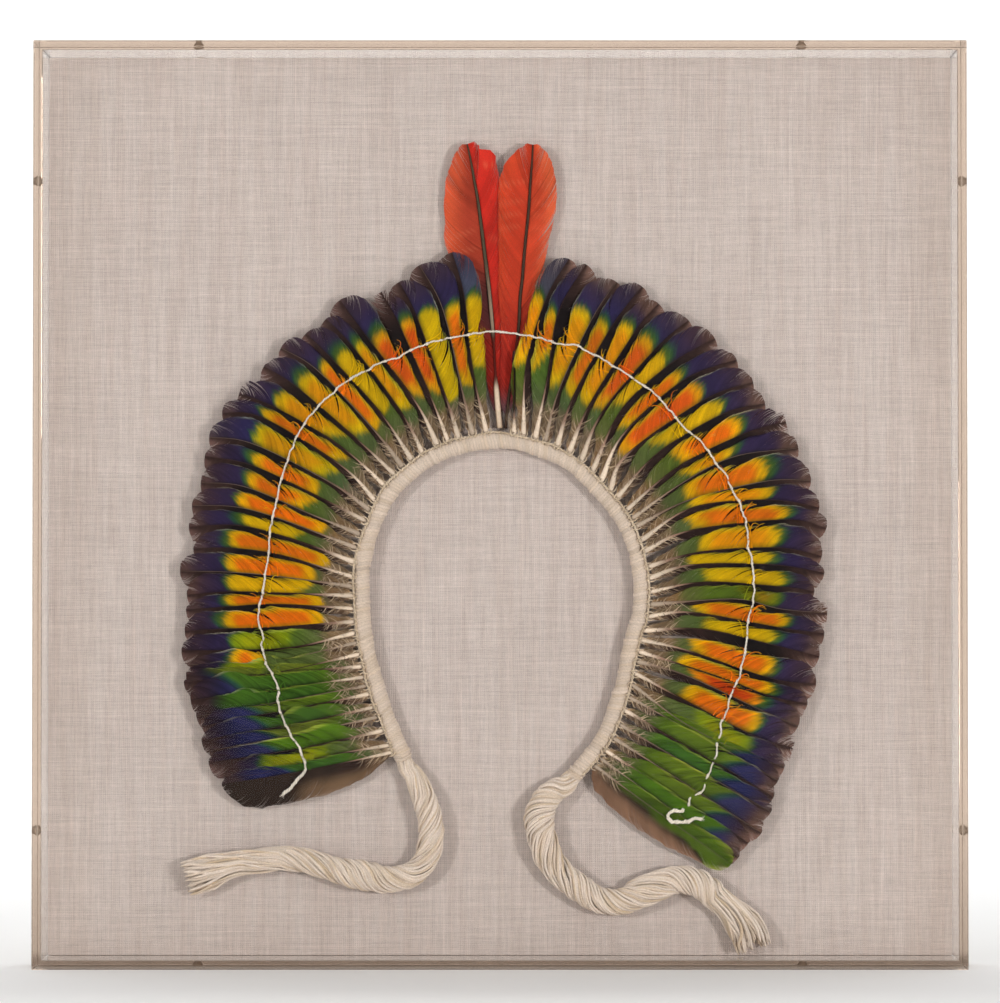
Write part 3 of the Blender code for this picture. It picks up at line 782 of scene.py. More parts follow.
band_fine = smooth([polar(a, r) for a, r in BAND_PATH], 0.5)
band_out = outward(band_fine)
band_angle = np.degrees(np.arctan2(band_fine[:, 0], band_fine[:, 1] - CROWN_Z))


def on_band(angle, out=0.0):
    moved = band_fine + band_out * out
    return np.array([np.interp(angle, band_angle, moved[:, k]) for k in range(2)])


# number, quill angle, then shaft beside the patch's inner end (angle, radius),
# beside its outer end (angle, radius), and tip (angle, radius), patch colour
LEFT = [
    (1, -4.6, -6.8, 155, -6.7, 202, -8.6, 232.8, "yellow"),
    (2, -9.3, -10.2, 141, -11.1, 197, -14.7, 228.4, "orange"),
    (3, -14.2, -14.8, 136, -16.4, 197, -18.0, 221.3, "yellow"),
    (4, -18.0, -18.7, 141, -20.1, 195, -21.4, 218.9, "scarlet"),
    (5, -21.9, -22.9, 142, -26.7, 193, -27.5, 225.4, "scarlet"),
    (6, -27.4, -27.6, 140, -30.1, 194, -32.0, 219.2, "amber"),
    (7, -31.8, -32.4, 147, -34.8, 194, -36.0, 218.6, "yellow"),
    (8, -35.8, -36.4, 140, -38.4, 195, -41.9, 221.4, "orange"),
    (9, -39.7, -41.4, 140, -43.6, 196, -45.7, 220.1, "amber"),
    (10, -44.7, -45.9, 148, -49.4, 197, -51.9, 220.3, "amber"),
    (11, -50.5, -49.5, 136, -52.4, 199, -57.6, 221.7, "orange"),
    (12, -54.5, -55.0, 135, -57.6, 194, -61.8, 220.7, "amber"),
    (13, -58.8, -60.2, 140, -61.4, 188, -65.1, 217.4, "orange"),
    (14, -64.1, -65.4, 137, -65.9, 185, -69.9, 212.8, "orange"),
    (15, -69.3, -69.3, 123, -70.4, 185, -74.0, 213.3, "orange"),
    (16, -74.5, -73.5, 137, -73.8, 178, -78.3, 211.5, "yellow"),
    (17, -80.1, -77.9, 116, -79.0, 183, -81.0, 205.7, "orange"),
    (18, -83.9, -83.6, 122, -84.0, 182, -85.0, 212.5, "orange"),
    (19, -87.8, -87.9, 123, -88.1, 180, -89.5, 207.1, "yellow"),
    (20, -93.1, -90.7, 117, -91.3, 181, -91.7, 207.8, "orange"),
    (21, -98.4, -96.9, 117, -95.8, 183, -95.6, 209.4, "orange"),
    (22, -102.8, -102.7, 139, -100.4, 180, -99.1, 213.1, "lime"),
    (23, -106.6, -105.0, 159, -103.6, 183, -101.3, 209.1, "orange"),
    (24, -111.2, -107.5, 161, -104.8, 188, -103.8, 213.2, "lime"),
    (25, -116.0, -109.2, 141, -106.1, 181, -105.1, 215.8, "green"),
    (26, -120.1, -113.1, 142, -109.7, 181, -108.5, 214.8, "green"),
    (27, -123.4, -116.3, 143, -112.8, 182, -111.5, 214.7, "green"),
    (28, -126.5, -118.9, 143, -115.0, 181, -113.5, 213.6, "green"),
    (29, -131.2, -122.6, 146, -117.9, 184, -115.9, 217.7, "green"),
    (30, -134.6, -125.5, 146, -120.3, 184, -118.1, 216.0, "green"),
    (31, -139.1, -128.9, 150, -122.9, 187, -120.0, 220.2, "green"),
    (32, -143.7, -132.1, 152, -126.2, 192, -122.7, 216.3, "lime"),
    (33, -145.8, -134.8, 153, -127.9, 188, -124.5, 220.1, "green"),
]
RIGHT = [
    (0, 4.4, 3.9, 138, 3.4, 154, 3.2, 166, "olive"),
    (1, 7.7, 6.3, 156, 8.7, 202, 12.2, 230.8, "amber"),
    (2, 11.9, 12.0, 151, 11.4, 194, 16.5, 229.8, "orange"),
    (3, 15.6, 15.6, 144, 18.2, 198, 20.5, 224.6, "amber"),
    (4, 20.1, 19.7, 142, 22.2, 196, 24.8, 228.2, "orange"),
    (5, 24.7, 24.5, 141, 26.7, 200, 28.5, 222.9, "amber"),
    (6, 29.4, 28.4, 141, 31.8, 197, 34.3, 223.6, "scarlet"),
    (7, 34.7, 32.4, 149, 35.7, 192, 40.1, 224.3, "yellow"),
    (8, 39.6, 36.4, 136, 39.8, 190, 46.1, 223.5, "orange"),
    (9, 44.6, 40.8, 126, 45.6, 191, 50.1, 221.1, "scarlet"),
    (10, 48.4, 46.9, 143, 50.1, 193, 54.4, 218.5, "yellow"),
    (11, 54.2, 53.0, 147, 55.6, 195, 58.5, 223.1, "orange"),
    (12, 57.8, 57.1, 145, 58.4, 182, 64.8, 221.7, "amber"),
    (13, 61.1, 61.9, 141, 65.9, 194, 69.5, 220.5, "orange"),
    (14, 66.5, 64.1, 141, 69.6, 191, 74.4, 220.0, "amber"),
    (15, 70.9, 69.6, 132, 74.2, 197, 78.5, 221.0, "orange"),
    (16, 76.9, 76.3, 136, 79.2, 187, 83.0, 214.8, "amber"),
    (17, 81.1, 79.3, 127, 82.5, 182, 85.6, 215.2, "yellow"),
    (18, 86.3, 84.7, 135, 87.2, 187, 88.4, 208.0, "yellow"),
    (19, 91.2, 89.5, 157, 91.6, 182, 90.7, 216.5, "olive"),
    (20, 95.7, 93.4, 126, 95.6, 190, 95.3, 215.5, "orange"),
    (21, 100.9, 97.9, 135, 99.2, 182, 99.8, 214.3, "yellow"),
    (22, 105.7, 104.8, 126, 106.0, 187, 103.6, 216.0, "orange"),
    (23, 110.6, 109.0, 123, 109.5, 189, 107.8, 214.2, "orange"),
    (24, 114.6, 111.8, 131, 112.7, 184, 112.5, 213.7, "red"),
    (25, 119.4, 118.3, 134, 118.0, 190, 116.0, 216.7, "orange"),
    (26, 123.7, 123.6, 147, 121.9, 191, 119.8, 217.6, "lime"),
    (27, 128.0, 124.5, 147, 123.3, 186, 123.3, 218.8, "green"),
    (28, 132.6, 128.3, 149, 126.5, 189, 126.2, 222.5, "green"),
    (29, 137.3, 131.9, 153, 129.3, 193, 128.5, 226.9, "green"),
    (30, 141.6, 135.9, 155, 133.1, 196, 132.2, 230.9, "green"),
    (31, 145.8, 139.4, 157, 136.1, 196, 134.9, 229.2, "green"),
    (32, 148.5, 142.3, 160, 139.0, 198, 137.7, 231.3, "green"),
    (33, 151.1, 144.5, 162, 140.9, 199, 139.4, 231.3, "leaf"),
]
# angle (degrees), radius (mm) along the thread through the feathers
THREAD_PATH = [
    (-132, 191), (-131.1, 171), (-128.5, 165), (-123, 163), (-119, 163.1), (-115, 160.9),
    (-111, 157.2), (-108.5, 157), (-105, 159.7), (-101, 159.5), (-99, 157.9), (-95, 159.2),
    (-91, 157.6), (-88.5, 156), (-83, 155.8), (-79.5, 155), (-75, 157.3), (-69, 159.9),
    (-63, 162.9), (-60.5, 165.2), (-55, 169), (-51, 172.1), (-47, 174.2), (-41, 175.5),
    (-36, 176.5), (-29, 175.9), (-25, 174.8), (-21, 174.6), (-16, 175.7), (-9, 176.4),
    (-1, 177.5), (3, 176.0), (6, 175.9), (9, 175.2), (12.5, 173.7), (16.5, 175.6),
    (21, 173.3), (25, 172.4), (33, 171.5), (37, 170.1), (41, 168.5), (47, 166.8),
    (53, 168.3), (58, 168.8), (61, 170.2), (63, 169.3), (69, 170.8), (74, 169.2),
    (79, 167.5), (83, 168.1), (89, 167.2), (91, 165.4), (93, 165.3), (95.5, 163.6),
    (101, 165), (105, 165), (109, 164.7), (113, 164.7), (117, 166.3), (119, 166.4),
    (121, 170), (123.2, 171.4), (125.4, 174.8), (127.2, 175.8), (130.5, 178.9),
    (133.2, 182.2), (136.2, 180.4), (137.3, 184.1),
]

LEFT_GROUPS = [5, 6, 5, 6, 5, 6]
RIGHT_GROUPS = [6, 5, 6, 5, 6, 6]
RAGGED = {("L", 4), ("L", 10), ("R", 11), ("R", 19), ("R", 25)}

# patch name: colour at its middle, colour at its rims
PATCH = {
    "yellow": (lin(186, 152, 8), lin(180, 152, 12)),
    "amber": (lin(194, 128, 8), lin(190, 156, 8)),
    "orange": (lin(194, 96, 16), lin(192, 149, 6)),
    "scarlet": (lin(192, 78, 24), lin(192, 138, 10)),
    "red": (lin(172, 58, 20), lin(190, 116, 18)),
    "lime": (lin(124, 132, 16), lin(104, 124, 20)),
    "olive": (lin(122, 104, 28), lin(98, 110, 28)),
    "green": (lin(70, 98, 26), lin(70, 98, 26)),
    "leaf": (lin(67, 89, 16), lin(120, 130, 40)),
}
DOWN = lin(112, 91, 67)
MOSS = lin(76, 86, 46)
GREEN = lin(66, 92, 20)
TEAL = lin(30, 64, 48)
BLUE = lin(41, 32, 63)
PURPLE = lin(52, 38, 52)
UMBER = lin(46, 31, 28)
SOOT = lin(17, 11, 12)
TIP = lin(90, 67, 62)
RIM = lin(176, 172, 142)
RIM_GREEN = lin(156, 170, 62)
BLUE_BRIGHT = lin(36, 36, 74)
# green vanes differ from olive to deep green
OLIVE_LEAF, GRASS_LEAF = lin(92, 102, 30), lin(78, 100, 24)
DEEP_LEAF, BRIGHT_LEAF = lin(56, 90, 26), lin(68, 102, 16)
LEAF_TONE = {("L", n): OLIVE_LEAF for n in (24, 25, 30)}
LEAF_TONE.update({("L", n): DEEP_LEAF for n in (26, 27, 29, 33)})
LEAF_TONE.update({("L", 28): GRASS_LEAF, ("L", 31): BRIGHT_LEAF, ("R", 29): DEEP_LEAF,
                  ("R", 32): BRIGHT_LEAF})
LEAF_TONE.update({("R", n): GRASS_LEAF for n in (27, 28, 30, 31)})
# where a green feather turns blue, as a share of its length beside the shaft
BLUE_FROM = {
    ("L", 25): 0.74, ("L", 26): 0.66, ("L", 27): 0.80, ("L", 28): 0.60, ("L", 29): 0.58,
    ("L", 30): 0.56, ("L", 31): 0.56, ("L", 33): 0.54, ("R", 27): 0.64, ("R", 28): 0.62,
    ("R", 29): 0.60, ("R", 30): 0.62, ("R", 31): 0.66, ("R", 32): 0.70,
}
QUILL = lin(230, 211, 190)
DOWN_FOOT = lin(184, 158, 130)
QUILL_PINK = lin(158, 126, 108)
SHAFT = lin(52, 34, 30)


def lashing():
    """Twisted twine along the band's outer edge, hitched over each quill."""
    rng = rng_for(31)
    soup = Soup(rows=3, cols=1)
    base = smooth([polar(a, r) for a, r in BAND_PATH], 0.5)
    run = run_of(base)
    keep = (run > 3) & (run < run[-1] - 3)
    base, out, run = base[keep], outward(base)[keep], run[keep]
    n = len(base)
    line = base + out * (LASH_OUT + 0.45 * wander(rng, n, 26))[:, None]
    up = LASH_UP + 0.25 * wander(rng, n, 30) - 0.6
    tangent = np.gradient(line, axis=0)
    tangent /= np.linalg.norm(tangent, axis=1)[:, None]
    normal = np.column_stack([tangent[:, 1], -tangent[:, 0]])
    for ply in (0, 1):
        soup.next_tile()
        turn = 2 * math.pi * run / 4.4 + ply * math.pi
        xz = line + normal * (0.46 * np.cos(turn))[:, None]
        shade = mix(lin(214, 196, 172)[None], lin(176, 154, 128)[None],
                    np.clip(0.35 + 0.3 * wander(rng, n, 20), 0, 1))
        # painted shade: each ply is coloured darker where it turns under the other
        shade = shade * (0.86 + 0.14 * np.sin(turn))[:, None]
        soup.tube(lifted(xz, up + 0.46 * np.sin(turn)), 0.50 * MM, shade, sides=6)
    soup.next_tile()
    lanes = 80
    k = 0
    for side, table in ((-1, LEFT), (1, RIGHT)):
        for row in table:
            angle = row[1]
            p = on_band(angle, LASH_OUT)
            d = on_band(angle, LASH_OUT + 1) - p
            d /= np.linalg.norm(d)
            q = np.array([d[1], -d[0]])
            # a hitch: over the twine, down beside the quill, and back
            for lean in (-1, 1):
                w = rng.normal(1.9, 0.25)
                t = np.linspace(0, 1, 12)
                along = lean * w * (0.35 + 0.9 * np.sin(t * math.pi * 0.9)) + rng.normal(0, 0.15)
                outv = -1.6 + t * rng.normal(6.2, 0.6)
                high = LASH_UP + 0.4 - 4.6 * t ** 1.7
                xz = p + d * outv[:, None] + q * along[:, None]
                soup.tube(lifted(xz, high), rng.uniform(0.34, 0.52) * MM,
                          lin(206, 186, 160) * (1 + rng.normal(0, 0.08)), sides=5,
                          lane=(k / 140, (k + 1) / 140))
                k += 1
    obj = soup.object("quill_lashing_twine", TWINE)
    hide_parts("quill_lashing")


lashing()


# ---------------------------------------------------------------- feathers

# share of the length, half-width of the outer (coloured) and inner vane (mm)
VANES = [
    (0.015, 2.4, 2.4), (0.045, 3.4, 3.4), (0.075, 3.9, 3.7), (0.11, 4.5, 4.0), (0.16, 5.2, 4.6),
    (0.22, 6.4, 5.2), (0.30, 8.2, 6.2), (0.42, 10.2, 8.2), (0.56, 11.4, 10.5),
    (0.72, 12.8, 12.2), (1.0, 13.4, 13.0),
]
LAST_INNER = {
    "L": [(0.015, 2.0), (0.045, 3.0), (0.10, 6.5), (0.22, 14.0), (0.45, 18.2), (0.7, 19.2), (0.9, 17.8), (1.0, 12)],
    "R": [(0.015, 3.0), (0.045, 8.0), (0.10, 13.0), (0.22, 16.5), (0.45, 18.0), (0.62, 16.6), (0.80, 12.2), (1.0, 9.0)],
}
TWIST = math.radians(6.5)


class Shaft:
    """A feather's shaft: a smooth bowed line from the lashing to the tip."""

    def __init__(self, fan, row):
        number, quill, a1, r1, a2, r2, ta, tr, patch = row
        self.fan, self.number, self.patch = fan, number, patch
        end = ta * 0.62 + (a2 + (a2 - a1) * (tr - r2) / max(r2 - r1, 20)) * 0.38
        start = on_band(quill, 5.0)
        base = on_band(quill, 7.0)
        pts = [start, base, polar(a1, r1), polar(a2, r2), polar(end, tr - 0.6)]
        if r1 < 124:
            pts = [start, base, polar((a1 + a2) / 2 * 0.45 + a1 * 0.55, (r1 + r2) / 2),
                   polar(a2, r2), polar(end, tr - 0.6)]
        line = smooth(pts, 1.0)
        for _ in range(60):
            line[2:-1] += 0.5 * (0.5 * (line[1:-2] + line[3:]) - line[2:-1])
        run = run_of(line)
        self.length = run[-1]
        self.f = np.linspace(0, 1, 121)
        self.line = at_run(line, run, self.f * self.length)
        t = np.gradient(self.line, axis=0)
        t /= np.linalg.norm(t, axis=1)[:, None]
        n = np.column_stack([t[:, 1], -t[:, 0]])
        # towards the top of the fan
        if fan == "R":
            n = -n
        self.t, self.n = t, n
        radius = np.hypot(self.line[:, 0], self.line[:, 1] - CROWN_Z)
        self.f_in = float(np.interp(r1, radius, self.f))
        self.f_out = float(np.interp(r2, radius, self.f))
        angle = np.degrees(np.arctan2(self.line[:, 0], self.line[:, 1] - CROWN_Z))
        off = radius - np.interp(angle, [p[0] for p in THREAD_PATH], [p[1] for p in THREAD_PATH])
        hit = int(np.argmin(np.abs(off)))
        self.cross = float(self.f[hit]) if abs(off[hit]) < 2 and -134 < angle[hit] < 137 else None
        self.room = None
        rng = rng_for(700 if fan == "L" else 800, number)
        self.gap = rng.uniform(1.0, 2.8) if number < 24 else rng.uniform(-1.0, 1.0)
        if number < 15:
            self.gap += 0.7
        self.warm = rng.normal(0, 1)
        self.tip_tone = rng.uniform(0.75, 1.45)
        self.deep = float(np.interp(number, [18, 26], [1.0, 0.62])) if fan == "L" else 1.0
        self.to_blue = rng.uniform(0.60, 0.72)
        self.squeeze = rng.uniform(0.15, 0.55)
        self.slim = rng.uniform(0.76, 1.06) * float(np.interp(number, [14, 24], [1.0, 0.78]))
        self.slant = rng.uniform(-0.05, 0.10)
        if (fan, number) == ("R", 2):
            self.slant = 0.17
        self.verge = rng.uniform(0.022, 0.075)
        self.mossy = rng.uniform(0.25, 0.85)
        self.rimmed = rng.uniform(0.45, 1.0)
        # how the tip ends: pointed, rounded or squared off
        self.turn_out, self.turn_in = rng.uniform(0.77, 0.86), rng.uniform(0.87, 0.93)
        self.power, self.root = rng.uniform(1.7, 2.9), rng.uniform(0.42, 0.66)
        self.brown = 0.97 if number == 1 else rng.uniform(0.86, 0.94) - (0.015 if fan == "R" else 0.0)

    def at(self, f):
        f = np.asarray(f)
        pick = lambda a: np.stack([np.interp(f, self.f, a[:, k]) for k in (0, 1)], -1)
        return pick(self.line), pick(self.n), pick(self.t)

    def height(self, f):
        return np.interp(f, [0, 0.03, 0.08, 0.2, 0.6, 1.0], [10.6, 9.8, 8.6, 9.0, 11.0, 9.6])


def vane_width(shaft, outer, f, rng_shape):
    if outer:
        w = np.interp(f, [v[0] for v in VANES], [v[1] for v in VANES])
        if shaft.room is not None:
            fit = np.interp(f, shaft.f, shaft.room) - shaft.gap
            w = w + (np.clip(fit, 0.60 * w, 1.25 * w) - w) * smoothstep(0.14, 0.26, f)
        turn, power, root = shaft.turn_out, shaft.power, shaft.root
    else:
        w = np.interp(f, [v[0] for v in VANES], [v[2] for v in VANES])
        turn, power, root = shaft.turn_in, 2.4, 0.46
        last = 33
        if shaft.number == last:
            rows = LAST_INNER[shaft.fan]
            w = np.interp(f, [r[0] for r in rows], [r[1] for r in rows])
            turn, power, root = (0.80, 2.2, 0.5) if shaft.fan == "L" else (0.90, 2.6, 0.42)
    if (shaft.fan, shaft.number) == ("R", 33) and outer:
        w = np.maximum(w, np.interp(f, [0.4, 0.6, 0.8, 1.0], [4.0, 7.0, 8.6, 9.0]))
        turn, power, root = 0.90, 2.6, 0.42
    if (shaft.fan, shaft.number) == ("R", 0):
        w = w * 0.10                       # a short one, lost under its neighbours
    w = w * rng_shape
    end = np.clip((f - turn) / (1.0 - turn), 0, 1)
    return w * np.clip(1 - end ** power, 0, 1) ** root


def outer_colour(shaft, f, u, jitter):
    """Colours of the outer vane; u runs from the shaft (0) to the rim (1)."""
    patch = shaft.patch
    core, rim = PATCH[patch]
    f = f + jitter
    late = -0.05 if patch in ("green", "leaf") else 0.05
    c = mix(DOWN_FOOT[None, None], DOWN[None, None], smoothstep(0.02, 0.075, f))
    c = mix(c, MOSS[None, None], smoothstep(0.10 + late, 0.18 + late, f))
    c = mix(c, GREEN[None, None], smoothstep(0.18 + late, 0.32 + late, f)
            * (shaft.mossy if patch != "green" else 1))
    if patch in ("green", "leaf"):
        leaf = LEAF_TONE.get((shaft.fan, shaft.number), PATCH[patch][0]) * (0.88 if shaft.fan == "L" else 0.95)
        c = mix(c, leaf[None, None], smoothstep(0.18, 0.36, f))
        c = c * (1 + (0.62 * u[..., None] - 0.26) * smoothstep(0.15, 0.35, f)[..., None]
                 * np.array([1.0, 0.9, 0.2]))
        # green runs further out along the rim than beside the shaft
        to_blue = (BLUE_FROM.get((shaft.fan, shaft.number), shaft.to_blue) if patch == "green"
                   else 1.3) + 0.12 * u ** 1.5
        c = mix(c, TEAL[None, None], smoothstep(0.0, 0.05, f - to_blue))
        c = mix(c, BLUE_BRIGHT[None, None], smoothstep(0.03, 0.09, f - to_blue))
        if patch == "leaf":
            c = mix(c, rim[None, None], smoothstep(0.70, 1.0, u) * smoothstep(0.6, 0.8, f))
    else:
        fi, fo = shaft.f_in - 0.017, shaft.f_out - 0.009
        # a finger-shaped patch: its inner end slants, both ends are rounded
        bow = np.abs(2 * u - 1)
        start = fi - 0.012 + max(shaft.slant, 0) * (1 - u) + max(-shaft.slant, 0) * u + 0.02 * bow ** 3
        stop = fo + 0.012 - 0.050 * bow ** 2.6
        inside = smoothstep(0.0, 0.042, f - start) * smoothstep(-0.006, 0.022, stop - f)
        mid = smoothstep(0.05, 0.13, f - start) * smoothstep(0.025, 0.085, stop - f) \
            * (1 - smoothstep(0.62, 0.93, u)) * smoothstep(0.03, 0.24, u)
        colour = mix(rim[None, None], core[None, None], mid) * np.array([1.06, 1.0, 0.5])
        after = smoothstep(0.0, 0.02, f - stop)
        verge = shaft.verge * (0.45 + 0.55 * u)
        green_rim = GREEN * 0.72 + TEAL * 0.28
        c = mix(c, green_rim[None, None] * 0.85, after)
        c = mix(c, TEAL[None, None], smoothstep(0.4, 1.0, (f - stop) / verge))
        blue = BLUE if shaft.number != 1 else lin(58, 62, 82)
        c = mix(c, blue[None, None], smoothstep(0.8, 1.5, (f - stop) / verge))
        c = mix(c, colour, inside)
    c = mix(c, PURPLE[None, None], smoothstep(0.80, 0.93, f) * smoothstep(0.25, 0.35, f)
            * (0 if patch == "leaf" else 0.5 if shaft.number == 1 else 1))
    tip = TIP if shaft.fan == "L" else lin(104, 79, 68)
    c = mix(c, tip[None, None] * 0.84, smoothstep(shaft.brown, shaft.brown + 0.07, f - 0.02 * u)
            * (0.0 if patch == "leaf" else 0.8))
    c = c * mix(np.ones(3)[None, None], np.ones(3)[None, None] * shaft.deep, smoothstep(0.74, 0.86, f))
    # painted shadow: beside the shaft the vane is coloured sooty dark, where the neighbour's rim shades it
    if shaft.number > 24:
        dark = smoothstep(0.26, 0.05, u) * smoothstep(0.12, 0.3, f) * 0.85
    else:
        dark = smoothstep(0.18, 0.0, u) * smoothstep(0.2, 0.4, f) * 0.6
    c = mix(c, SOOT[None, None], dark * (0 if patch == "leaf" else 1))
    # pale yellow-green rims: partly the barbs' own pale ends, partly painted highlight
    many_green = shaft.number > 21
    light = smoothstep(0.84 if many_green else 0.90, 0.96, u) * smoothstep(0.26, 0.42, f) \
        * (1 - smoothstep(0.60, 0.70, f))
    c = mix(c, RIM_GREEN[None, None], light * shaft.rimmed * (0.90 if many_green else 0.55))
    # along the dark tip only the outermost barb ends are pale: partly their own colour, partly painted highlight
    thin = smoothstep(0.955, 1.0, u) * smoothstep(0.58, 0.68, f) * (1 - smoothstep(0.80, 0.90, f))
    return mix(c, RIM[None, None], thin * shaft.rimmed * 0.75)


def inner_colour(shaft, f, u, jitter):
    """Colours of the inner vane, sooty brown."""
    f = f + jitter
    low = mix(lin(158, 132, 106)[None, None], lin(92, 70, 54)[None, None], smoothstep(0.02, 0.07, f))
    c = mix(low, UMBER[None, None] * 0.8, smoothstep(0.06, 0.16 if shaft.number < 22 else 0.24, f))
    c = mix(c, SOOT[None, None], smoothstep(0.30, 0.55, f))
    tip = (TIP if shaft.fan == "L" else lin(106, 80, 71)) * shaft.tip_tone * shaft.deep
    c = mix(c, UMBER[None, None], smoothstep(0.72, 0.88, f))
    c = mix(c, tip[None, None], smoothstep(0.84, 0.98, f) * smoothstep(0.1, 0.8, u))
    c = mix(c, tip[None, None] * 1.25, smoothstep(0.8, 1.0, u) * smoothstep(0.6, 0.9, f) * 0.5)
    if (shaft.fan, shaft.number) == ("R", 33):
        # green beside the shaft and over the whole tip, brown outside that; next to the green the brown is painted
        # darker as shadow
        brown = lin(122, 92, 72)
        edge = np.interp(f, [0.10, 0.35, 0.60, 0.75, 0.84, 0.92], [0.07, 0.19, 0.33, 0.50, 0.72, 1.3])
        out = smoothstep(edge, edge + 0.45, u)
        c = mix(lin(40, 29, 23)[None, None], brown[None, None], out)
        c = mix(c, brown[None, None] * 1.35, smoothstep(0.92, 1.0, u))
        leaf = mix(lin(54, 76, 12)[None, None], lin(70, 92, 17)[None, None], smoothstep(0.3, 0.8, f))
        leaf = mix(leaf, lin(140, 150, 58)[None, None], smoothstep(0.90, 1.0, u) * smoothstep(0.8, 0.9, f))
        c = mix(c, leaf, smoothstep(edge + 0.04, edge - 0.04, u) * smoothstep(0.10, 0.2, f))
        return mix(brown[None, None] * 0.8, c, smoothstep(0.06, 0.16, f))
    if shaft.number == 33:
        brown = lin(112, 88, 66)
        c = mix(c, lin(42, 31, 25)[None, None], smoothstep(0.2, 0.4, f))
        near = smoothstep(0.66, 0.46, f) if shaft.fan == "L" else smoothstep(1.1, 0.8, f)
        c = mix(c, brown[None, None], smoothstep(0.22, 0.75, u) * near)
        c = mix(c, brown[None, None] * 1.4, smoothstep(0.9, 1.0, u) * near)
        c = mix(brown[None, None] * 0.8, c, smoothstep(0.06, 0.20, f))
    return c


def vane(soup, shaft, outer, rng, start=0.018, barb=0.62, steps=7):
    """One vane: overlapping barb ribbons that sweep forward off the shaft."""
    length = shaft.length
    count = int((1 - start) * length / barb)
    k = np.arange(count)
    shape = rng.normal(1.0, 0.03)
    ragged = (shaft.fan, shaft.number) in RAGGED

    # splits: barbs part and leave a notch that opens towards the rim
    part = np.zeros(count)
    torn = np.zeros(count)
    press = np.ones(count)
    adv_mm = 18.0 if outer else 15.0
    spots = list(rng.uniform(0.35, 0.97, rng.integers(1, 4)))
    if outer and shaft.cross is not None:
        # the thread parts the barbs: those outside it are pressed to the shaft
        at = int((shaft.cross - 0.6 * adv_mm / length - start) / (1 - start) * count)
        reach = rng.uniform(9, 16)
        press *= 1 - np.where(k > at, shaft.squeeze * np.exp(-(k - at - 1) / reach),
                              0.45 * shaft.squeeze * np.exp(-(at - k) / (reach * 0.6)))
        for lead in (rng.uniform(0.25, 0.7), rng.uniform(0.7, 1.15)):
            cut = int(np.clip((shaft.cross - lead * adv_mm / length - start) / (1 - start) * count,
                              4, count - 5))
            wide = rng.uniform(1.6, 4.4)
            torn += np.where(k <= cut, -wide * 0.5 * np.exp(-(cut - k) / rng.uniform(3, 6)),
                             wide * 0.5 * np.exp(-(k - cut - 1) / rng.uniform(3, 6)))
    if ragged:
        spots += list(rng.uniform(0.82, 0.97, 5))
    breaks = []
    for spot in spots:
        at = int(np.clip((spot - start) / (1 - start) * count, 4, count - 5))
        breaks.append(at)
        wide = rng.uniform(0.6, 2.0) * (1.2 if ragged else 1 - 0.8 * float(smoothstep(0.68, 0.84, spot)))
        reach = rng.uniform(5, 14)
        part += np.where(k <= at, -wide * 0.55 * np.exp(-(at - k) / reach),
                         wide * np.exp(-(k - at - 1) / (reach * 0.6)))
    cuts = np.zeros(count, bool)
    cuts[breaks] = True

    end_noise = 0.35 * wander(rng, count, 9) + rng.normal(0, 0.12, count)
    end_noise = end_noise - 0.5 * np.abs(wander(rng, count, 9)) * smoothstep(0.80, 0.92, k / count)
    if ragged:
        end_noise = end_noise - np.abs(rng.normal(0, 1.3, count)) * smoothstep(0.75, 0.95, k / count)
    dip = rng.normal(0, 0.05, count) + 0.10 * wander(rng, count, 12)

    v = np.linspace(0, 1, steps)
    offsets = np.array([0.0, 1.22])
    kk = k[:, None] + offsets[None, :]
    base = start + (1 - start) * kk / count
    base = np.minimum(base, 0.9995)
    adv = np.minimum(adv_mm / length, (1 - base) * 0.82) * np.clip((base - 0.02) / 0.25, 0.35, 1)
    tip = np.clip(base + adv, 0, 0.9995)
    w = vane_width(shaft, outer, tip, shape)
    if outer and shaft.fan == "L" and 22 <= shaft.number <= 32:
        # pressed aside by the thread and by each other: bellied here and there
        for _ in range(2):
            at, wide = rng.uniform(0.30, 0.85), rng.uniform(0.05, 0.10)
            w = w * (1 + rng.uniform(-0.20, 0.42) * np.exp(-((tip - at) / wide) ** 2))
    w = np.maximum(w + end_noise[:, None] * np.clip(w / 4, 0, 1), 0.05)
    f = base[..., None] + adv[..., None] * v ** 1.15
    f = f + (part[:, None, None] * v ** 2.2 + torn[:, None, None] * v ** 1.25) / length
    across = w[..., None] * (1 - (1 - v) ** 1.6) * (1 - (1 - press)[:, None, None] * v)
    f = np.clip(f, 0, 1)
    p, n, t = shaft.at(f)
    sign = 1.0 if outer else -1.0
    flat = across * math.cos(TWIST)
    arch = -0.55 * (across / 11.0) ** 2
    lift = sign * across * math.sin(TWIST) + arch + dip[:, None, None] * v
    lift = lift + np.where(offsets == 0, 0.05, -0.03)[None, :, None]
    # beyond the shaft's end the last barbs run straight on
    xz = p + n * (sign * flat)[..., None]
    up = shaft.height(f) + lift
    grid = lifted(xz, np.maximum(up, 0.8))

    u = np.broadcast_to(v[None, None, :], f.shape)
    part_way = 1 - (1 - u) ** 1.6
    jitter = (0.005 * wander(rng, count, 8) + rng.normal(0, 0.002, count))[:, None, None]
    colour = (outer_colour if outer else inner_colour)(shaft, f, part_way, jitter)
    rough = 1.4 if outer and shaft.number > 21 else 0.8
    streak = 1 + rough * (0.09 * wander(rng, count, 7) + 0.09 * wander(rng, count, 2)
                          + rng.normal(0, 0.06, count))
    colour = colour * np.clip(streak, 0.55, 1.5)[:, None, None, None]
    if outer:
        colour = colour * (1 + shaft.warm * np.array([0.07, 0.02, -0.05]))
    soup.next_tile()
    uv = np.stack([np.broadcast_to(((k[:, None] + np.array([0.1, 0.9])) / count)[..., None], f.shape),
                   u], -1)
    if (outer and shaft.fan == "L") or (not outer and shaft.fan == "R"):
        grid, colour, uv = grid[:, ::-1], colour[:, ::-1], uv[:, ::-1]
    soup.strips(grid, colour, uv)
    if outer and shaft.cross is not None:
        stray_barbs(soup, shaft, rng, shape)


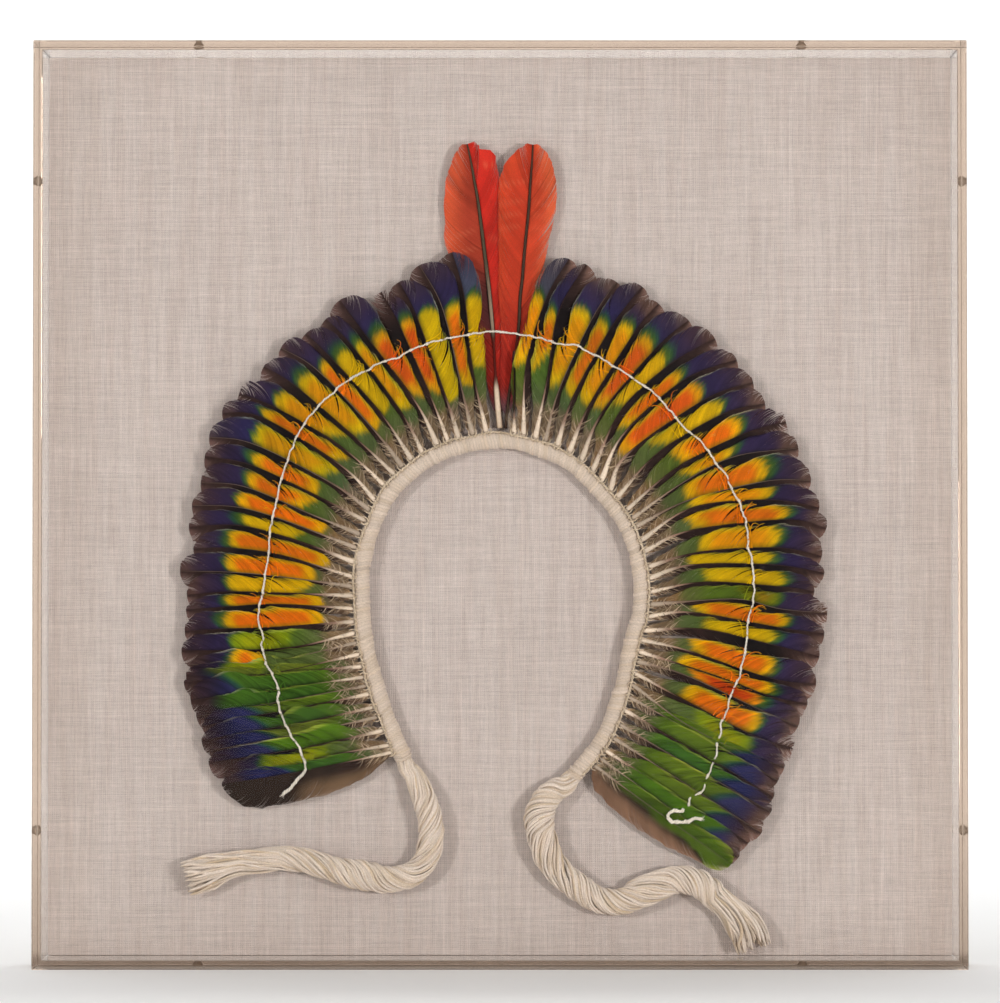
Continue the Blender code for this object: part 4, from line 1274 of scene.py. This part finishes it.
def stray_barbs(soup, shaft, rng, shape):
    """Single barbs that the thread has pulled loose; they curl over the gap."""
    many = int(rng.integers(4, 10))
    v = np.linspace(0, 1, 8)
    f0 = shaft.cross + rng.normal(-0.020, 0.022, many)
    adv = rng.uniform(2.5, 11.0, many) * np.where(rng.random(many) < 0.2, -0.6, 1.0) / shaft.length
    full = vane_width(shaft, True, f0, shape)
    out = full * rng.uniform(0.35, 1.15, many)
    f = f0[:, None] + adv[:, None] * v[None] ** rng.uniform(0.8, 2.4, many)[:, None]
    across = out[:, None] * np.sin(v * rng.uniform(1.2, 2.1, many)[:, None])
    p, n, t = shaft.at(f)
    xz = p + n * across[..., None]
    up = shaft.height(f) + across * math.sin(TWIST) + 0.5 + rng.uniform(0, 1.0, many)[:, None] * v
    size = rng.uniform(0.18, 0.42, many)[:, None] * (1 - 0.7 * v[None])
    step = np.gradient(xz, axis=1)
    step /= np.linalg.norm(step, axis=2)[..., None] + 1e-9
    side = np.stack([step[..., 1], -step[..., 0]], -1)
    grid = np.stack([lifted(xz - side * size[..., None], up), lifted(xz + side * size[..., None], up)], 1)
    u = np.broadcast_to(v[None, None, :], grid.shape[:3])
    colour = outer_colour(shaft, np.broadcast_to(f[:, None, :], grid.shape[:3]), 0.35 + 0.5 * u, 0.0)
    colour = colour * rng.uniform(0.95, 1.6, many)[:, None, None, None]
    uv = np.stack([np.broadcast_to(((np.arange(many)[:, None] + np.array([0.1, 0.9])) / many)[..., None],
                                   u.shape), u], -1)
    soup.next_tile()
    soup.strips(grid, colour, uv)


def quill_tube(soup, shaft, rng, lane):
    f = np.concatenate([np.linspace(0, 0.4, 26), np.linspace(0.42, 0.998, 34)])
    p, n, t = shaft.at(f)
    r = np.interp(f, [0, 0.04, 0.08, 0.14, 0.21, 0.30, 0.45, 0.7, 1.0],
                  [1.60, 1.88, 1.62, 1.14, 0.70, 0.44, 0.32, 0.26, 0.14]) * shaft.slim
    far = rng.uniform(-0.055, 0.035) + (0.03 if shaft.number < 15 else 0.0)
    c = mix(QUILL[None] * rng.uniform(0.80, 1.06), QUILL_PINK[None] * rng.uniform(0.7, 1.0),
            smoothstep(0.09 + far, 0.20 + far, f))
    c = mix(c, SHAFT[None], smoothstep(0.18 + far, 0.30 + far, f))
    if rng.random() < 0.3:
        # grey with down
        c = mix(c, lin(126, 108, 92)[None], 0.55 * np.ones(len(f)))
    soup.tube(lifted(p, shaft.height(f) + 0.25), r * MM, c, sides=8, lane=lane)


def down(soup, shaft, rng, many=90):
    """Loose grey-brown down about the quill's foot."""
    v = np.linspace(0, 1, 7)
    f0 = 0.012 + 0.18 * rng.random(many) ** 1.5
    sign = np.where(rng.random(many) < 0.5, -1.0, 1.0)
    reach = rng.uniform(2.0, 6.2, many) * np.clip(0.65 + f0 * 4, 0.65, 1)
    adv = rng.uniform(3, 13, many) / shaft.length
    curl = rng.normal(0, 0.8, many)
    f = f0[:, None] + adv[:, None] * v[None] ** 1.1
    p, n, t = shaft.at(f)
    across = sign[:, None] * reach[:, None] * np.sin(v * math.pi * 0.5)[None]
    across = across + curl[:, None] * np.sin(v * math.pi * 1.5)[None]
    xz = p + n * across[..., None]
    up = 8.9 + rng.uniform(-1.4, 1.5, many)[:, None] + rng.normal(0, 0.8, many)[:, None] * v[None]
    size = rng.uniform(0.13, 0.34, many)[:, None] * (1 - 0.75 * v[None])
    left = lifted(xz - t * size[..., None], up)
    right = lifted(xz + t * size[..., None], up + 0.02)
    grid = np.stack([left, right], 1)
    pale = rng.random(many)
    c = mix(lin(88, 66, 50)[None], lin(212, 188, 158)[None], pale ** 1.1)
    colour = np.broadcast_to(c[:, None, None, :], grid.shape)
    uv = np.zeros(grid.shape[:3] + (2,))
    uv[..., 0] = (np.arange(many)[:, None, None] + np.array([0.1, 0.9])[None, :, None]) / many
    uv[..., 1] = v[None, None, :]
    soup.strips(grid, colour, uv)


shafts = {"L": {r[0]: Shaft("L", r) for r in LEFT}, "R": {r[0]: Shaft("R", r) for r in RIGHT}}
for fan in shafts.values():
    for number, shaft in fan.items():
        if number - 1 in fan:
            upper = fan[number - 1].line
            shaft.room = np.array([np.linalg.norm(upper - p, axis=1).min() for p in shaft.line])
shafts["R"][1].room = np.interp(shafts["R"][1].f, [0, 0.3, 0.42, 0.55, 0.8, 1],
                                [12.5, 13.5, 12.8, 11.6, 14.5, 15]) - 3.6 + shafts["R"][1].gap

for fan, groups, side in (("L", LEFT_GROUPS, "left"), ("R", RIGHT_GROUPS, "right")):
    numbers = sorted(shafts[fan])
    first = 0
    for g, many in enumerate(groups, 1):
        soup = Soup(rows=5, cols=6)
        members = numbers[first:first + many]
        first += many
        for number in members:
            shaft = shafts[fan][number]
            rng = rng_for(100 if fan == "L" else 200, number)
            vane(soup, shaft, True, rng)
            vane(soup, shaft, False, rng)
        soup.next_tile()
        for j, number in enumerate(members):
            rng = rng_for(300 if fan == "L" else 400, number)
            quill_tube(soup, shafts[fan][number], rng, (j / many, (j + 1) / many))
        for number in members:
            soup.next_tile()
            down(soup, shafts[fan][number], rng_for(500 if fan == "L" else 600, number))
        obj = soup.object("plumes_%s_%d" % (side, g), PARROT)
        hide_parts("feathers_%s_%d" % (side, g))


# ------------------------------------------------------------ red feathers

# x and height (mm) along the shaft, height above the cloth, vane width to
# -X and to +X (mm)
RED_LEFT = [
    (-0.2, 354, 3.4, 1.5, 2.5), (-2.5, 382, 3.4, 5.5, 7), (-4.5, 415, 3.4, 10, 9),
    (-7.2, 445, 3.6, 18, 11), (-11.3, 479, 4.6, 25.5, 13.5), (-14.6, 504.5, 5.9, 22.8, 15),
    (-17.0, 517.7, 6.6, 19, 16.5), (-18.4, 526, 6.95, 16, 17), (-19.3, 531, 7.2, 13.4, 17),
    (-20.3, 535.5, 7.6, 10.4, 13.6), (-20.7, 537.6, 7.65, 8.8, 6.6), (-21.9, 542.5, 8.0, 3.2, 5),
]
RED_RIGHT = [
    (3.6, 354, 4.7, 2, 1.5), (6.7, 382, 4.7, 6.5, 4), (12.0, 417, 4.7, 11.5, 4.5),
    (13.3, 440, 4.9, 14, 8), (14.7, 452, 5.3, 15.5, 13), (15.8, 466, 5.8, 17, 14.3),
    (16.9, 478, 6.2, 18, 14.8), (18.9, 498, 7.1, 20, 18.2), (20.2, 517.7, 8.0, 20.5, 17.2),
    (20.9, 526, 8.35, 18.8, 15), (21.2, 531, 8.6, 15.4, 12.4), (21.6, 537.5, 8.9, 9.4, 8),
    (21.9, 542, 9.3, 3.4, 3),
]
RED = lin(184, 40, 30)
RED_PALE = lin(202, 84, 52)
RED_DEEP = lin(128, 28, 20)
RED_ORANGE = lin(194, 66, 38)


def red_feather(name, node, rows, left_tone, right_tone, seed, notches):
    rng = rng_for(seed)
    rows = np.array(rows, dtype=float)
    line = smooth(rows[:, :3], 1.0)
    run = run_of(line)
    length = run[-1]
    table_run = np.interp(rows[:, 1], line[:, 1], run)
    fs = np.linspace(0, 1, 181)
    spine = at_run(line, run, fs * length)
    t = np.gradient(spine[:, :2], axis=0)
    t /= np.linalg.norm(t, axis=1)[:, None]
    n = np.column_stack([t[:, 1], -t[:, 0]])      # towards +X
    soup = Soup(rows=2, cols=2)

    def at(f):
        return (np.stack([np.interp(f, fs, spine[:, k]) for k in (0, 1)], -1),
                np.stack([np.interp(f, fs, n[:, k]) for k in (0, 1)], -1),
                np.interp(f, fs, spine[:, 2]))

    for sign, column, tones in ((-1, 3, left_tone), (1, 4, right_tone)):
        barb = 0.70
        count = int(length * 0.93 / barb)
        k = np.arange(count)
        part = np.zeros(count)
        breaks = list(rng.uniform(0.25, 0.95, 7))
        for spot, wide, reach in [(b, rng.uniform(0.1, 0.5), rng.uniform(6, 16)) for b in breaks] \
                + [(b, w, 10) for s, b, w in notches if s == sign]:
            a = int(np.clip(spot * count, 3, count - 4))
            part += np.where(k <= a, -wide * 0.5 * np.exp(-(a - k) / reach),
                             wide * np.exp(-(k - a - 1) / (reach * 0.7)))
        kk = k[:, None] + np.array([0.0, 1.2])[None]
        base = np.minimum(0.04 + 0.955 * kk / count, 0.9995)
        adv = np.minimum(26.0 / length, (1 - base) * 0.86) * np.clip(base / 0.3, 0.3, 1)
        tip = np.clip(base + adv, 0, 0.9995)
        w = np.interp(tip * length, table_run, rows[:, column])
        noise = 0.30 * wander(rng, count, 12) + rng.normal(0, 0.12, count)
        w = np.maximum(w + noise[:, None] * np.clip(w / 5, 0, 1), 0.05)
        v = np.linspace(0, 1, 10)
        f = base[..., None] + adv[..., None] * v ** 1.15 + part[:, None, None] * v ** 2.4 / length
        f = np.clip(f, 0, 1)
        across = w[..., None] * (1 - (1 - v) ** 1.22)
        p, nn, high = at(f)
        arch = -1.1 * (across / 22.0) ** 2
        dip = (rng.normal(0, 0.05, count) + 0.12 * wander(rng, count, 14))[:, None, None] * v
        up = high + 0.5 + arch + dip + np.array([0.06, -0.04])[None, :, None] * 1.0
        grid = lifted(p + nn * (sign * across)[..., None], np.maximum(up, 0.6))
        u = np.broadcast_to(v[None, None, :], f.shape)
        inner, outer_tone, low = tones
        c = mix(inner[None, None], outer_tone[None, None], smoothstep(0.3, 0.95, u))
        c = mix(low[None, None], c, smoothstep(0.22, 0.55, f + 0.02 * wander(rng, count, 6)[:, None, None]))
        if seed == 41 and sign == -1:
            shade = smoothstep(0.30, 0.36, f) * (1 - smoothstep(0.46, 0.62, f)) * (1 - u) ** 0.7
            c = mix(c, lin(70, 46, 48)[None, None], shade * 0.9)
        c = mix(lin(92, 62, 66)[None, None], c, smoothstep(0.06, 0.16, f))
        streak = 1 + 0.07 * wander(rng, count, 9) + 0.035 * wander(rng, count, 3) + rng.normal(0, 0.03, count)
        # barbs out of line: thin dark and pale lines, painted shade and painted highlight
        for k0 in rng.integers(int(count * 0.2), count - 6, 5):
            streak[k0:k0 + 2] *= 0.78
            streak[k0 + 2:k0 + 4] *= 1.10
        # below the thread the barbs are clotted, with painted shade in the gaps between clots
        streak[:int(count * 0.27)] *= 1 - 0.35 * (rng.random(int(count * 0.27)) < 0.22)
        c = c * np.clip(streak, 0.55, 1.4)[:, None, None, None]
        # growth bars: faint pale lines across the vane
        for f0 in (0.79, 0.745, 0.70, 0.86) if seed == 42 else rng.uniform(0.45, 0.92, 2):
            bar = np.exp(-((f - f0 + 0.03 * (u - 0.5)) / 0.003) ** 2) * smoothstep(0.1, 0.3, u)
            c = mix(c, np.array(lin(226, 132, 96))[None, None], 0.35 * bar)
        uv = np.stack([np.broadcast_to(((k[:, None] + np.array([0.1, 0.9])) / count)[..., None], f.shape), u], -1)
        soup.next_tile()
        if sign == -1:
            grid, c, uv = grid[:, ::-1], c[:, ::-1], uv[:, ::-1]
        soup.strips(grid, c, uv)

    # the shaft: grooved, pale towards the quill; its sides are coloured darker than its front, partly its own dark
    # edges and partly painted shade
    soup.next_tile()
    f = np.linspace(0, 0.995, 90)
    p, nn, high = at(f)
    r = np.interp(f, [0, 0.12, 0.15, 0.19, 0.29, 0.33, 0.5, 0.8, 1.0],
                  [1.9, 1.9, 1.6, 0.75, 0.75, 1.45, 1.45, 1.05, 0.5])
    if seed == 42:
        r = np.interp(f, [0, 0.2, 0.4, 0.8, 1.0], [1.1, 0.8, 1.1, 0.95, 0.5])
    sides = 12
    ang = np.linspace(0, 2 * math.pi, sides, endpoint=False)
    groove = 1 - 0.22 * np.exp(-((ang - math.pi / 2) / 0.35) ** 2)
    ring = np.zeros((len(f), sides, 3))
    tint = np.zeros((len(f), sides, 3))
    pale = smoothstep(0.19, 0.13, f) if seed == 41 else np.zeros(len(f))
    sunk = smoothstep(0.13, 0.19, f) * smoothstep(0.335, 0.30, f)
    worn = smoothstep(0.31, 0.35, f) * smoothstep(0.60, 0.40, f) if seed == 41 else 0 * f
    for j in range(sides):
        xz = p + nn * (np.cos(ang[j]) * r)[:, None]
        ring[:, j] = lifted(xz, high + 0.9 + np.sin(ang[j]) * r * 0.9 * groove[j])
        # sides darker than the front: own dark edges plus painted shade
        edge = abs(math.cos(ang[j])) > 0.55
        dark = lin(26, 20, 17) if edge else lin(76, 66, 52)
        light = lin(176, 148, 124) if edge else lin(218, 196, 172)
        grey = lin(44, 33, 28) if edge else lin(140, 120, 102)
        if seed == 42:
            dark = lin(30, 21, 18) if edge else lin(66, 48, 38)
        tint[:, j] = mix(dark[None], light[None], pale)
        tint[:, j] = mix(tint[:, j], grey[None], worn)
        tint[:, j] = mix(tint[:, j], lin(84, 26, 20)[None], sunk)
    soup.rings(ring[:, ::-1], tint[:, ::-1])
    obj = soup.object(name, MACAW)
    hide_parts(node)


# vane side, place along the barbs, width of the notch (mm)
red_feather("macaw_plume_left", "red_feather_left", RED_LEFT,
            (lin(156, 56, 38), RED_PALE, lin(150, 38, 28)),
            (RED, lin(190, 44, 32), lin(160, 36, 26)), 41,
            [(-1, 0.80, 0.8), (1, 0.83, 1.4)])
red_feather("macaw_plume_right", "red_feather_right", RED_RIGHT,
            (lin(182, 56, 34), RED_ORANGE, lin(156, 38, 28)),
            (lin(192, 66, 40), lin(212, 94, 58), lin(150, 38, 28)), 42,
            [(1, 0.60, 3.0), (1, 0.42, 2.6), (1, 0.72, 0.8)])


# ------------------------------------------------------------------ thread

def two_ply(soup, line, up, pitch, ply_r, colour, rng, swell=None):
    run = run_of(line)
    n = len(line)
    tangent = np.gradient(line, axis=0)
    tangent /= np.linalg.norm(tangent, axis=1)[:, None]
    normal = np.column_stack([tangent[:, 1], -tangent[:, 0]])
    swell = np.ones(n) if swell is None else swell
    for ply in (0, 1):
        soup.next_tile()
        turn = 2 * math.pi * run / pitch + ply * math.pi
        xz = line + normal * (1.08 * ply_r * swell * np.cos(turn))[:, None]
        high = up + ply_r * swell * np.sin(turn)
        size = ply_r * swell * (1 + 0.10 * wander(rng, n, 8))
        size[0] *= 0.7
        size[-1] *= 0.7
        # painted shade: each ply is coloured darker where it turns under the other
        tone = (0.78 + 0.22 * np.sin(turn) + 0.07 * wander(rng, n, 12))[:, None]
        soup.tube(lifted(xz, high), size * MM, colour[None] * tone, sides=6)


def feather_thread():
    rng = rng_for(51)
    soup = Soup(rows=12, cols=1)
    line = smooth([polar(a, r) for a, r in THREAD_PATH], 0.5)
    run = run_of(line)
    n = len(line)
    out = outward(line)
    angle = np.degrees(np.arctan2(line[:, 0], line[:, 1] - CROWN_Z))
    line = line + out * (0.16 * wander(rng, n, 26) + 0.34 * wander(rng, n, 13)
                         + 0.20 * wander(rng, n, 7))[:, None]
    up = THREAD_LIFT + 0.18 * wander(rng, n, 22)
    # here and there barbs lie over the thread
    for covered in (-128.4, -124.4, -120.0, -117.5, -111.9, -104.2, -99.6, -88.6, -71.2, -52.3,
                    -30.4, -12.2, 10.3, 31.2, 49.5, 62.1, 76.1, 91.8, 98.0, 110.6, 117.9):
        up = up - 2.8 * np.exp(-((angle - covered) / 0.22) ** 2)
    for hidden in (122.6, 126.9, 131.3, 135.4):
        up = up - 4.2 * np.exp(-((angle - hidden) / 0.52) ** 2)
    knotty = smoothstep(-100, -125, angle)
    swell = 1 + 0.16 * knotty + 0.14 * np.abs(wander(rng, n, 14)) + 0.75 * smoothstep(-130.7, -131.6, angle)
    white = lin(238, 229, 216)
    two_ply(soup, line, up, 4.4, 0.305, white, rng, swell)
    soup.next_tile()
    # a wrap of thread round each shaft it passes
    k = 0
    for fan in ("L", "R"):
        for number, shaft in shafts[fan].items():
            radius = np.hypot(shaft.line[:, 0], shaft.line[:, 1] - CROWN_Z)
            sa = np.degrees(np.arctan2(shaft.line[:, 0], shaft.line[:, 1] - CROWN_Z))
            tr = np.interp(sa, angle, np.hypot(line[:, 0], line[:, 1] - CROWN_Z))
            hit = int(np.argmin(np.abs(radius - tr)))
            if abs(radius[hit] - tr[hit]) > 2 or not (angle[0] < sa[hit] < angle[-1]):
                continue
            p, d, q = shaft.line[hit], shaft.t[hit], shaft.n[hit]
            near = int(np.argmin(np.linalg.norm(line - p, axis=1)))
            span = rng.uniform(1.0, 2.2)
            th = np.linspace(0, 1, 22)
            s = run[near] + (th - 0.5) * span
            centre = at_run(line, run, s)
            turn = th * 2 * math.pi * rng.uniform(1.5, 2.6) + rng.uniform(0, 6)
            grow = 0.62 * rng.uniform(0.9, 1.25)
            xz = centre + at_run(out, run, s) * (np.cos(turn) * grow)[:, None]
            soup.tube(lifted(xz, np.interp(s, run, up) + np.sin(turn) * grow), 0.30 * MM,
                      white * 0.97, sides=6, lane=(k / 70, (k + 1) / 70))
            k += 1
    # the loop at the lower right
    loop = [(120.8, 103.2), (119.6, 101.4), (114.9, 101.6), (111.2, 99.6), (111.0, 96.8),
            (114.4, 94.6), (120.2, 94.7), (126.8, 96.1), (132.4, 96.6)]
    line2 = smooth(loop, 0.4)
    rise = 13.3 + 0.3 * wander(rng, len(line2), 20)
    line2 = line2 + outward(line2) * (0.30 * wander(rng, len(line2), 11))[:, None]
    two_ply(soup, line2, rise, 3.6, 0.52, white, rng, 1 + 0.25 * np.abs(wander(rng, len(line2), 9)))
    # frayed ends
    soup.next_tile()
    for end, heading, spread in (((132.2, 96.6), (1.0, 0.05), 0.9), ((line[0][0], line[0][1]), (-0.6, -1.0), 0.5)):
        d = np.array(heading) / np.linalg.norm(heading)
        q = np.array([d[1], -d[0]])
        for j in range(7):
            t = np.linspace(0, 1, 7)
            reach = rng.uniform(1.2, 3.0)
            bend = rng.normal(0, spread * 1.8)
            xz = np.array(end) + d * (t * reach)[:, None] + q * (bend * t ** 1.6)[:, None]
            soup.tube(lifted(xz, 13.2 + rng.normal(0, 0.4) * t), 0.17 * MM * (1 - 0.6 * t),
                      white, sides=5, lane=((k % 90) / 90, (k % 90 + 1) / 90))
            k += 1
    obj = soup.object("feather_thread_ply", THREAD)
    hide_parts("feather_thread")


feather_thread()


# ------------------------------------------------------------ stage, lights

floor_mat = Nodes("studio_floor")
grain = floor_mat.noise(floor_mat.coords(), 3, 2, 0.5)
floor_mat.set(Base_Color=floor_mat.mixed(grain, rgba((0.94, 0.94, 0.94)), rgba((0.96, 0.96, 0.96))),
              Roughness=0.9, Specular_IOR_Level=0.1)


def sweep():
    """A pale floor that curves up behind the object."""
    profile = [(-9.0, 0.0)] + [(4.6 + 1.6 * math.sin(a), 1.6 - 1.6 * math.cos(a))
                               for a in np.linspace(0, math.pi / 2, 13)] + [(6.2, 7.0)]
    bm = bmesh.new()
    rows = []
    for x in (-9.0, 9.0):
        rows.append([bm.verts.new((x, y, z)) for y, z in profile])
    for i in range(len(profile) - 1):
        bm.faces.new((rows[0][i], rows[1][i], rows[1][i + 1], rows[0][i + 1]))
    mesh = bpy.data.meshes.new("studio_sweep")
    bm.to_mesh(mesh)
    bm.free()
    mesh.shade_smooth()
    obj = bpy.data.objects.new("studio_sweep", mesh)
    bpy.context.scene.collection.objects.link(obj)
    obj.data.materials.append(floor_mat.mat)
    return obj


stage_floor = sweep()


def area(name, where, at, size, power, colour=(1, 1, 1)):
    data = bpy.data.lights.new(name, 'AREA')
    data.shape = 'RECTANGLE'
    data.size, data.size_y = size
    data.energy = power
    data.color = colour
    obj = bpy.data.objects.new(name, data)
    bpy.context.scene.collection.objects.link(obj)
    obj.location = where
    obj.rotation_mode = 'QUATERNION'
    obj.rotation_quaternion = (Vector(at) - Vector(where)).to_track_quat('-Z', 'Y')
    return obj


bpy.context.scene.view_settings.view_transform = 'Standard'
area("lamp_left", (-2.3, -2.9, 0.72), (0, 0, 0.3), (0.5, 0.5), 43, (1.0, 0.988, 0.975))
area("lamp_right", (2.2, -2.9, 0.16), (0, 0, 0.3), (0.5, 0.5), 69, (1.0, 0.988, 0.98))
area("top", (0.0, 0.2, 3.4), (0, 0.3, 0.0), (3.0, 2.2), 14)
area("backdrop", (0.0, 1.4, 3.6), (0, 4.1, 0.9), (4.0, 1.2), 85)
area("backdrop_far", (0.0, 3.9, 3.9), (0, 6.2, 0.7), (4.4, 1.2), 75)

world = bpy.data.worlds.new("studio_air")
bpy.context.scene.world = world
world.use_nodes = True
wt = world.node_tree
wt.nodes.clear()
w_out = wt.nodes.new("ShaderNodeOutputWorld")
w_bg = wt.nodes.new("ShaderNodeBackground")
w_tc = wt.nodes.new("ShaderNodeTexCoord")
w_dot = wt.nodes.new("ShaderNodeVectorMath")
w_dot.operation = 'DOT_PRODUCT'
w_dot.inputs[1].default_value = (0, -1, 0)
w_map = wt.nodes.new("ShaderNodeMapRange")
w_map.interpolation_type = 'SMOOTHSTEP'
for k, x in enumerate((0.93, 0.985, 0.50, 0.05), 1):
    w_map.inputs[k].default_value = x
wt.links.new(w_tc.outputs["Generated"], w_dot.inputs[0])
wt.links.new(w_dot.outputs["Value"], w_map.inputs[0])
wt.links.new(w_map.outputs[0], w_bg.inputs["Strength"])
w_bg.inputs["Color"].default_value = (1.0, 0.995, 0.985, 1)
wt.links.new(w_bg.outputs[0], w_out.inputs[0])


# --------------------------------------------------------------------- end

bpy.context.view_layer.update()
